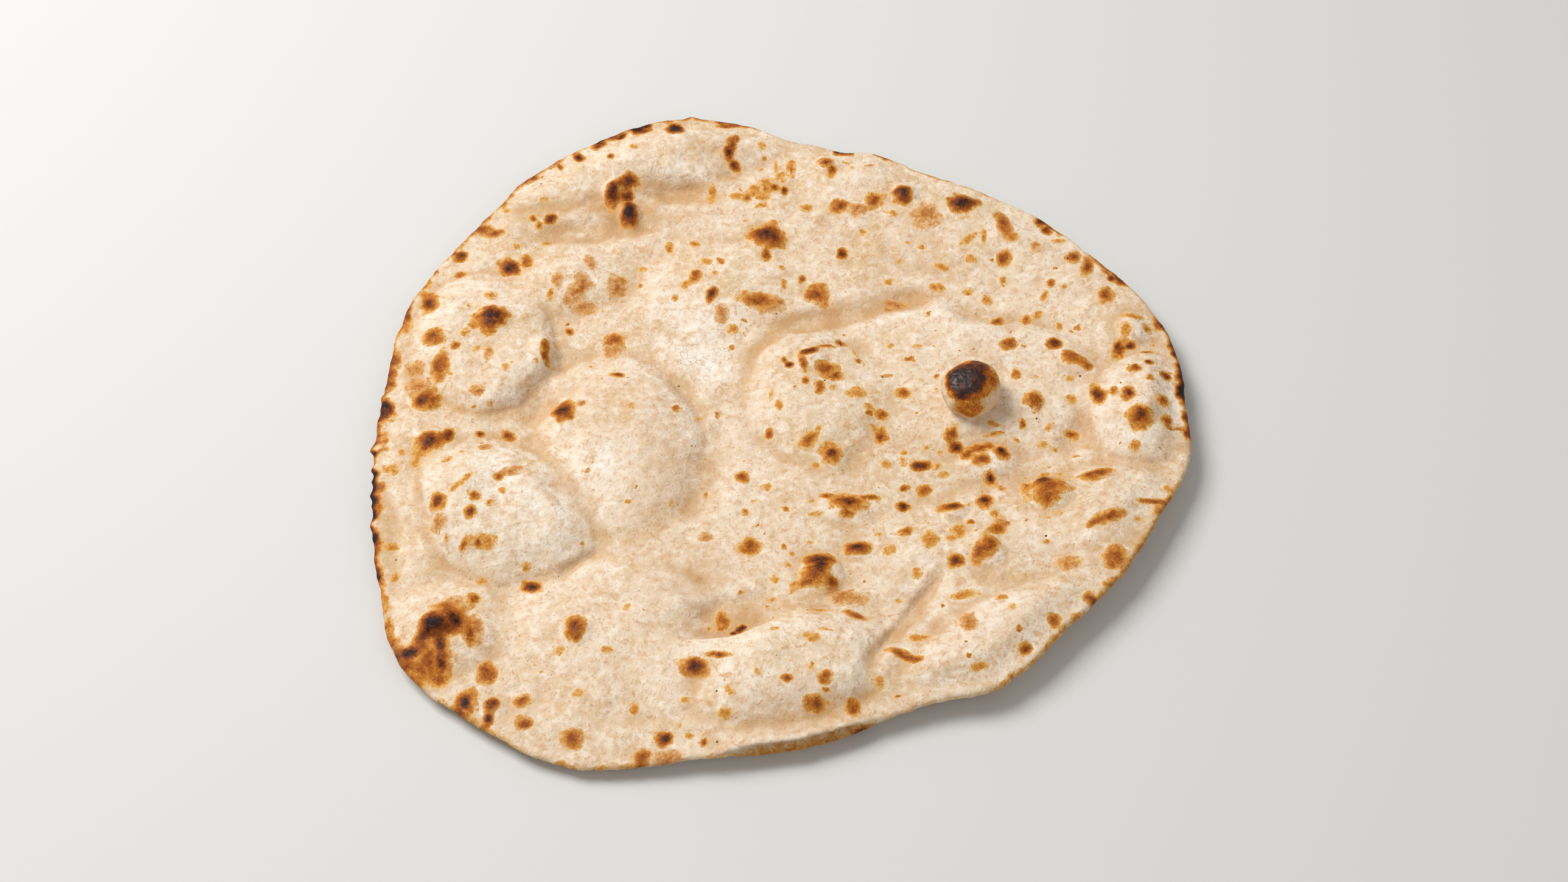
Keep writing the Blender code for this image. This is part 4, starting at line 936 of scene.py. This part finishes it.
def crust_material():
    """Leavened wholemeal crust, slapped on a clay oven wall: dry, matt and floury, with bran flecks in
    it, scorched blisters that run from gold through brown to black, and a dull gloss on the char.
    Painted shade darkens its valleys and painted light pales its crests."""
    material = bpy.data.materials.new("baked_wholemeal_crust")
    material.use_nodes = True
    tree = material.node_tree
    tree.nodes.clear()
    where = add(tree, "ShaderNodeTexCoord").outputs["Object"]

    def baked(name):
        return add(tree, "ShaderNodeAttribute", attribute_name=name).outputs["Fac"]

    def grain(size_mm, detail=2.0, distortion=0.0, rough=0.5):
        """Noise whose lumps are about size_mm across, from 0 to 1."""
        inputs = {
            "Vector": where,
            "Scale": 1.0 / (size_mm * MM),
            "Detail": detail,
            "Distortion": distortion,
            "Roughness": rough,
        }
        return add(tree, "ShaderNodeTexNoise", inputs).outputs["Fac"]

    def wandering(shift_mm):
        """Places on the crust, each a little aside, which keeps cells from looking drawn."""
        inputs = {"Vector": where, "Scale": 1.0 / (WANDER_LUMPS * MM), "Detail": 3.0}
        wander = add(tree, "ShaderNodeTexNoise", inputs).outputs["Color"]
        inputs = {0: wander, 1: (0.5, 0.5, 0.5)}
        aside = add(tree, "ShaderNodeVectorMath", inputs, operation="SUBTRACT").outputs[0]
        inputs = {0: aside, "Scale": shift_mm * MM}
        aside = add(tree, "ShaderNodeVectorMath", inputs, operation="SCALE").outputs[0]
        return add(tree, "ShaderNodeVectorMath", {0: where, 1: aside}).outputs[0]

    def cells(source, cell_mm, **settings):
        """Spots scattered about cell_mm apart: how far the nearest is, and its three random lots."""
        inputs = {"Vector": source, "Scale": 1.0 / (cell_mm * MM)}
        made = add(tree, "ShaderNodeTexVoronoi", inputs, **settings)
        lots = add(tree, "ShaderNodeSeparateColor", {0: made.outputs["Color"]})
        return made.outputs["Distance"], *lots.outputs

    def maths(operation, a, b=0.0, c=0.0):
        return add(tree, "ShaderNodeMath", {0: a, 1: b, 2: c}, operation=operation).outputs[0]

    def between(value, low, high, to_low=0.0, to_high=1.0):
        """Clamps and stretches value from low..high to to_low..to_high, with soft ends."""
        inputs = {0: value, 1: low, 2: high, 3: to_low, 4: to_high}
        made = add(tree, "ShaderNodeMapRange", inputs, interpolation_type="SMOOTHSTEP")
        return made.outputs["Result"]

    def blend(share, low, high):
        made = add(tree, "ShaderNodeMix", {"Factor": share}, data_type="RGBA")
        for socket, colour in ((made.inputs[6], low), (made.inputs[7], high)):
            if isinstance(colour, str):
                socket.default_value = linear(colour)
            else:
                tree.links.new(colour, socket)
        return made.outputs[2]

    def ramp(value, stops):
        made = add(tree, "ShaderNodeValToRGB", {"Fac": value})
        elements = made.color_ramp.elements
        elements[0].position, elements[0].color = stops[0][0], linear(stops[0][1])
        elements[1].position, elements[1].color = stops[-1][0], linear(stops[-1][1])
        for position, colour in stops[1:-1]:
            elements.new(position).color = linear(colour)
        return made.outputs["Color"]

    # Plain crust: cream, warmed in broad clouds, whiter where flour lies and on crests as painted light,
    # and tan where it is bare and in valleys as painted shade.
    dust_and_light = maths("MULTIPLY", baked("dust_and_light"), between(grain(7.0, 4.0), 0.25, 0.70))
    bare_and_shade = maths("MULTIPLY", baked("bare_and_shade"), between(grain(9.0, 4.0), 0.20, 0.60))
    crust = blend(between(grain(22.0, 5.0), 0.35, 0.68), CREAM, WARM_CREAM)
    crust = blend(between(grain(4.4, 5.0, 0.5), 0.42, 0.70, 0.0, 0.75), crust, PALE_CREAM)
    # Painted shade: tan in valleys, in hollows and on the shaded sides of mounds, as well as where the
    # crust is bare.
    crust = blend(maths("MULTIPLY", bare_and_shade, 0.88), crust, BARE_AND_SHADE_TAN)
    # Painted light: paler on raised crests, as well as where flour lies.
    crust = blend(dust_and_light, crust, FLOUR_AND_LIGHT_WHITE)
    flaky = grain(2.4, 4.0, 0.5, rough=0.6)
    floury = maths("MULTIPLY", between(flaky, 0.50, 0.75, 0.0, 0.55), maths("SUBTRACT", 1.0, bare_and_shade))
    crust = blend(floury, crust, FLOURY)
    crust = blend(between(flaky, 0.28, 0.50, 0.60, 0.0), crust, FLAKY_TAN)
    clouds = between(grain(3.2, 5.0, 1.0, rough=0.62), 0.53, 0.66)
    patches = between(grain(16.0, 2.0), 0.35, 0.62, 0.25, 1.0)
    crust = blend(maths("MULTIPLY", maths("MULTIPLY", clouds, patches), 0.62), crust, CLOUD_TAN)

    # Bran: short reddish husks that lie three ways, fainter under flour and under the painted light on
    # crests, and small round specks.
    showing = maths("SUBTRACT", 1.0, maths("MULTIPLY", dust_and_light, 0.75))
    bent = wandering(HUSK_SHIFT)
    strands = 0.0
    for turn in BRAN_TURNS:
        lie = {"Vector": bent, "Rotation": (0.0, 0.0, math.radians(turn)), "Scale": BRAN_CELL}
        laid = add(tree, "ShaderNodeMapping", lie, vector_type="TEXTURE").outputs["Vector"]
        apart, strength, width, _ = cells(laid, 1.0 / MM, voronoi_dimensions="2D")
        width = between(width, 0.0, 1.0, 0.07, 0.21)
        husk = between(maths("DIVIDE", apart, width), 0.4, 1.3, 1.0, 0.0)
        strands = maths("MAXIMUM", maths("MULTIPLY", husk, between(strength, 0.68, 1.0)), strands)
    crust = blend(maths("MULTIPLY", maths("MULTIPLY", strands, showing), 0.55), crust, BRAN_HUSK)
    apart, chosen, _, _ = cells(where, 2.6)
    specks = maths("MULTIPLY", between(apart, 0.06, 0.17, 1.0, 0.0), between(chosen, 0.66, 0.70))
    crust = blend(maths("MULTIPLY", specks, 0.50), crust, BRAN_SPECK)

    # Soot: black specks from the oven wall, less than a millimetre across and far apart.
    apart, chosen, size, _ = cells(where, 19.0, voronoi_dimensions="2D")
    size = between(size, 0.0, 1.0, 0.010, 0.026)
    soot = between(maths("DIVIDE", apart, size), 0.7, 1.1, 1.0, 0.0)
    soot = maths("MULTIPLY", soot, between(chosen, 0.82, 0.84))

    # Fine dry cracks in the thick flour.
    wavy = wandering(CELL_SHIFT)
    inputs = {"Vector": wavy, "Scale": 1.0 / (2.9 * MM)}
    edges = add(tree, "ShaderNodeTexVoronoi", inputs, feature="DISTANCE_TO_EDGE")
    crack = between(edges.outputs["Distance"], 0.010, 0.050, 1.0, 0.0)
    crack = maths("MULTIPLY", crack, between(baked("flour"), 0.35, 0.65))
    crack = maths("MULTIPLY", crack, between(grain(7.0, 3.0), 0.50, 0.58))
    crust = blend(maths("MULTIPLY", crack, 0.55), crust, CRACK_TAN)

    # Small golden flecks, one in some of the cells of a wandering pattern.
    flecked = baked("flecked")
    flecks = 0.0
    for cell_mm, widest in FLECK_CELLS:
        apart, chosen, size, strength = cells(wavy, cell_mm)
        chosen = maths("SUBTRACT", chosen, maths("MULTIPLY", flecked, 0.70))
        radius = maths("MULTIPLY_ADD", maths("POWER", size, 1.6), widest, 0.045)
        spot = between(maths("DIVIDE", apart, radius), 0.35, 1.35, 1.0, 0.0)
        spot = maths("MULTIPLY", spot, between(chosen, -0.01, 0.01, 1.0, 0.0))
        spot = maths("MULTIPLY", spot, between(strength, 0.0, 1.0, 0.14, 0.46))
        flecks = maths("MAXIMUM", spot, flecks)

    # The knob: spots laid round directions seen from the middle of its ball.
    facing = add(tree, "ShaderNodeAttribute", attribute_name="facing").outputs["Vector"]
    length = add(tree, "ShaderNodeVectorMath", {0: facing}, operation="LENGTH").outputs["Value"]
    on_knob = between(length, 0.35, 0.75)
    uneven = maths("MULTIPLY_ADD", grain(3.6, 3.0), 0.50, -0.25)

    def spot_on_knob(height, turn, half_width, level):
        inputs = {0: facing, 1: direction(height, turn)}
        towards = add(tree, "ShaderNodeVectorMath", inputs, operation="DOT_PRODUCT").outputs["Value"]
        angle = maths("ARCCOSINE", maths("DIVIDE", towards, length))
        away = maths("ADD", maths("DIVIDE", angle, math.radians(half_width)), uneven)
        return maths("MULTIPLY", between(away, 0.55, 1.15, 1.0, 0.0), level)

    seared = KNOB_TOAST
    for spot in KNOB_MARKS:
        seared = maths("MAXIMUM", spot_on_knob(*spot), seared)
    seared = maths("SUBTRACT", seared, spot_on_knob(*KNOB_BARE_SPOT))
    seared = maths("MULTIPLY", seared, on_knob)

    # Scorch: the bake level made crisp and ragged by fine grain, then coloured by hue.
    bake = maths("MAXIMUM", baked("bake"), flecks)
    bake = maths("MAXIMUM", maths("MULTIPLY", bake, maths("SUBTRACT", 1.0, on_knob)), seared)
    coarse = maths("SUBTRACT", grain(2.4, 4.0, 0.6, rough=0.62), 0.5)
    sandy = maths("SUBTRACT", grain(0.6, 3.0, rough=0.6), 0.5)
    rough_edge = maths("MULTIPLY_ADD", sandy, 0.45, maths("MULTIPLY_ADD", coarse, 0.85, bake))
    level = maths("MULTIPLY", rough_edge, between(bake, 0.02, 0.16))
    warmth = maths("ADD", baked("hue"), maths("MAXIMUM", maths("MULTIPLY", flecked, 0.45), on_knob))
    hue = maths("MULTIPLY_ADD", maths("SUBTRACT", grain(5.0, 3.0), 0.5), 0.9, warmth)
    scorch = blend(between(hue, 0.10, 0.95), ramp(level, DULL_BAKE), ramp(level, AMBER_BAKE))
    colour = blend(between(level, 0.03, 0.22), crust, scorch)
    colour = blend(maths("MULTIPLY", soot, 0.9), colour, SOOT)

    # Gloss and fine relief: matt flour, a duller satin on gold, and a dull gloss on char.
    satin = between(level, 0.25, 0.75, 0.84, 0.62)
    charred = maths("MULTIPLY", between(seared, 0.70, 0.95), between(grain(1.6, 3.0), 0.30, 0.60))
    roughness = maths("MULTIPLY_ADD", charred, -0.24, satin)
    shine = maths("MULTIPLY_ADD", charred, 0.30, 0.22)
    fine = maths("MULTIPLY_ADD", grain(0.8, 2.0), 0.10, grain(3.2, 2.5, 0.5, rough=0.55))
    height = maths("MULTIPLY_ADD", crack, -0.12, fine)
    inputs = {"Height": height, "Strength": 0.85, "Distance": BUMP_HEIGHT}
    normal = add(tree, "ShaderNodeBump", inputs).outputs["Normal"]

    skin = add(
        tree,
        "ShaderNodeBsdfPrincipled",
        {
            "Base Color": colour,
            "Roughness": roughness,
            "Metallic": 0.0,
            "Specular IOR Level": shine,
            "IOR": 1.45,
            "Normal": normal,
        },
    )
    add(tree, "ShaderNodeOutputMaterial", {"Surface": skin.outputs["BSDF"]})
    return material


def with_thin_underside(shape, under):
    """The same mesh with fewer triangles over the underside, where there is less to see."""
    dense = bpy.data.objects.new("dense_skin", shape)
    bpy.context.scene.collection.objects.link(dense)
    dense.vertex_groups.new(name="underside").add(under, 1.0, "ADD")
    thinning = dense.modifiers.new("thinning", "DECIMATE")
    thinning.vertex_group = "underside"
    thinning.ratio = FACET_SHARE
    thinned = bpy.data.meshes.new_from_object(dense.evaluated_get(bpy.context.evaluated_depsgraph_get()))
    bpy.data.objects.remove(dense)
    bpy.data.meshes.remove(shape)
    thinned.name = "baked_skin"
    return thinned


def make_skin():
    """The dense baked skin, closed and centred in x and y on its own bounds."""
    mesh = sheet_with_edge()
    under = [
        vert.index
        for vert in mesh.verts
        if vert.co.z < SKIN_LEVEL and max(abs(vert.co.x), abs(vert.co.y)) < UNDER_SHARE
    ]
    looks, facing = bake_skin(mesh)
    bmesh.ops.triangulate(mesh, faces=mesh.faces[:], quad_method="SHORT_EDGE")
    bmesh.ops.recalc_face_normals(mesh, faces=mesh.faces[:])
    shape = bpy.data.meshes.new("dense_skin")
    mesh.to_mesh(shape)
    mesh.free()
    for name, values in looks.items():
        shape.attributes.new(name, "FLOAT", "POINT").data.foreach_set("value", values)
    shape.attributes.new("facing", "FLOAT_VECTOR", "POINT").data.foreach_set("vector", facing.ravel())
    shape = with_thin_underside(shape, under)
    places = np.empty(len(shape.vertices) * 3)
    shape.vertices.foreach_get("co", places)
    places = places.reshape(-1, 3)
    shift = -0.5 * (places[:, :2].min(axis=0) + places[:, :2].max(axis=0))
    places[:, :2] += shift
    shape.vertices.foreach_set("co", places.ravel())
    shape.shade_smooth()
    shape.materials.append(crust_material())
    skin = bpy.data.objects.new("baked_skin", shape)
    bpy.context.scene.collection.objects.link(skin)
    return skin, shift


def make_floor():
    """A pale plain flat studio floor of matt card."""
    mesh = bmesh.new()
    bmesh.ops.create_grid(mesh, x_segments=1, y_segments=1, size=FLOOR_HALF * MM)
    shape = bpy.data.meshes.new("studio_floor")
    mesh.to_mesh(shape)
    mesh.free()
    card = bpy.data.materials.new("matt_white_card")
    card.use_nodes = True
    finish = card.node_tree.nodes["Principled BSDF"]
    finish.inputs["Base Color"].default_value = linear(CARD_WHITE)
    finish.inputs["Roughness"].default_value = 0.9
    shape.materials.append(card)
    floor = bpy.data.objects.new("studio_floor", shape)
    bpy.context.scene.collection.objects.link(floor)
    return floor


def aim(thing, place, target):
    """Puts a light or a camera at a place and turns it to look at a target, both in metres."""
    thing.location = place
    thing.rotation_euler = (Vector(target) - Vector(place)).to_track_quat("-Z", "Y").to_euler()


def softbox(name, place, size, power):
    """A square studio light turned to the middle of the bread."""
    light = bpy.data.lights.new(name, "AREA")
    light.size = size
    light.energy = power
    lamp = bpy.data.objects.new(name, light)
    bpy.context.scene.collection.objects.link(lamp)
    aim(lamp, place, (0.0, 0.0, 0.0))


CAMERA_TARGET = (1.0, -13.1, 7.0)  # millimetres
CAMERA_DISTANCE = 799.0
CAMERA_LENS = 50.0
SENSOR_WIDTH = 36.0
NEAR_CLIP = 10.0
FLOOR_HALF = 3000.0
KEY_LIGHT = ((-0.78, 0.44, 1.24), 0.80, 21.8)  # place and size in metres, power in watts
FRONT_LIGHT = ((0.8, -0.9, 1.1), 1.2, 3.0)
AIR_LIGHT = 0.36


def make_camera(shift):
    """Looks down at the bread from the front at SLANT degrees."""
    slant = math.radians(SLANT)
    target = Vector(CAMERA_TARGET) * MM + Vector((*shift, 0.0))
    lens = bpy.data.cameras.new("studio_camera")
    lens.lens = CAMERA_LENS
    lens.sensor_width = SENSOR_WIDTH
    lens.clip_start = NEAR_CLIP * MM
    camera = bpy.data.objects.new("studio_camera", lens)
    bpy.context.scene.collection.objects.link(camera)
    aim(camera, target + CAMERA_DISTANCE * MM * Vector((0.0, -math.cos(slant), math.sin(slant))), target)
    bpy.context.scene.camera = camera


skin, shift = make_skin()
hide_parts("roti")
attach(skin, "root")
make_floor()

softbox("key_softbox", *KEY_LIGHT)
softbox("front_fill", *FRONT_LIGHT)
world = bpy.data.worlds.new("studio_air")
world.use_nodes = True
world.node_tree.nodes["Background"].inputs["Color"].default_value = linear(AIR_WHITE)
world.node_tree.nodes["Background"].inputs["Strength"].default_value = AIR_LIGHT
bpy.context.scene.world = world
bpy.context.scene.view_settings.view_transform = "Standard"
make_camera(shift)
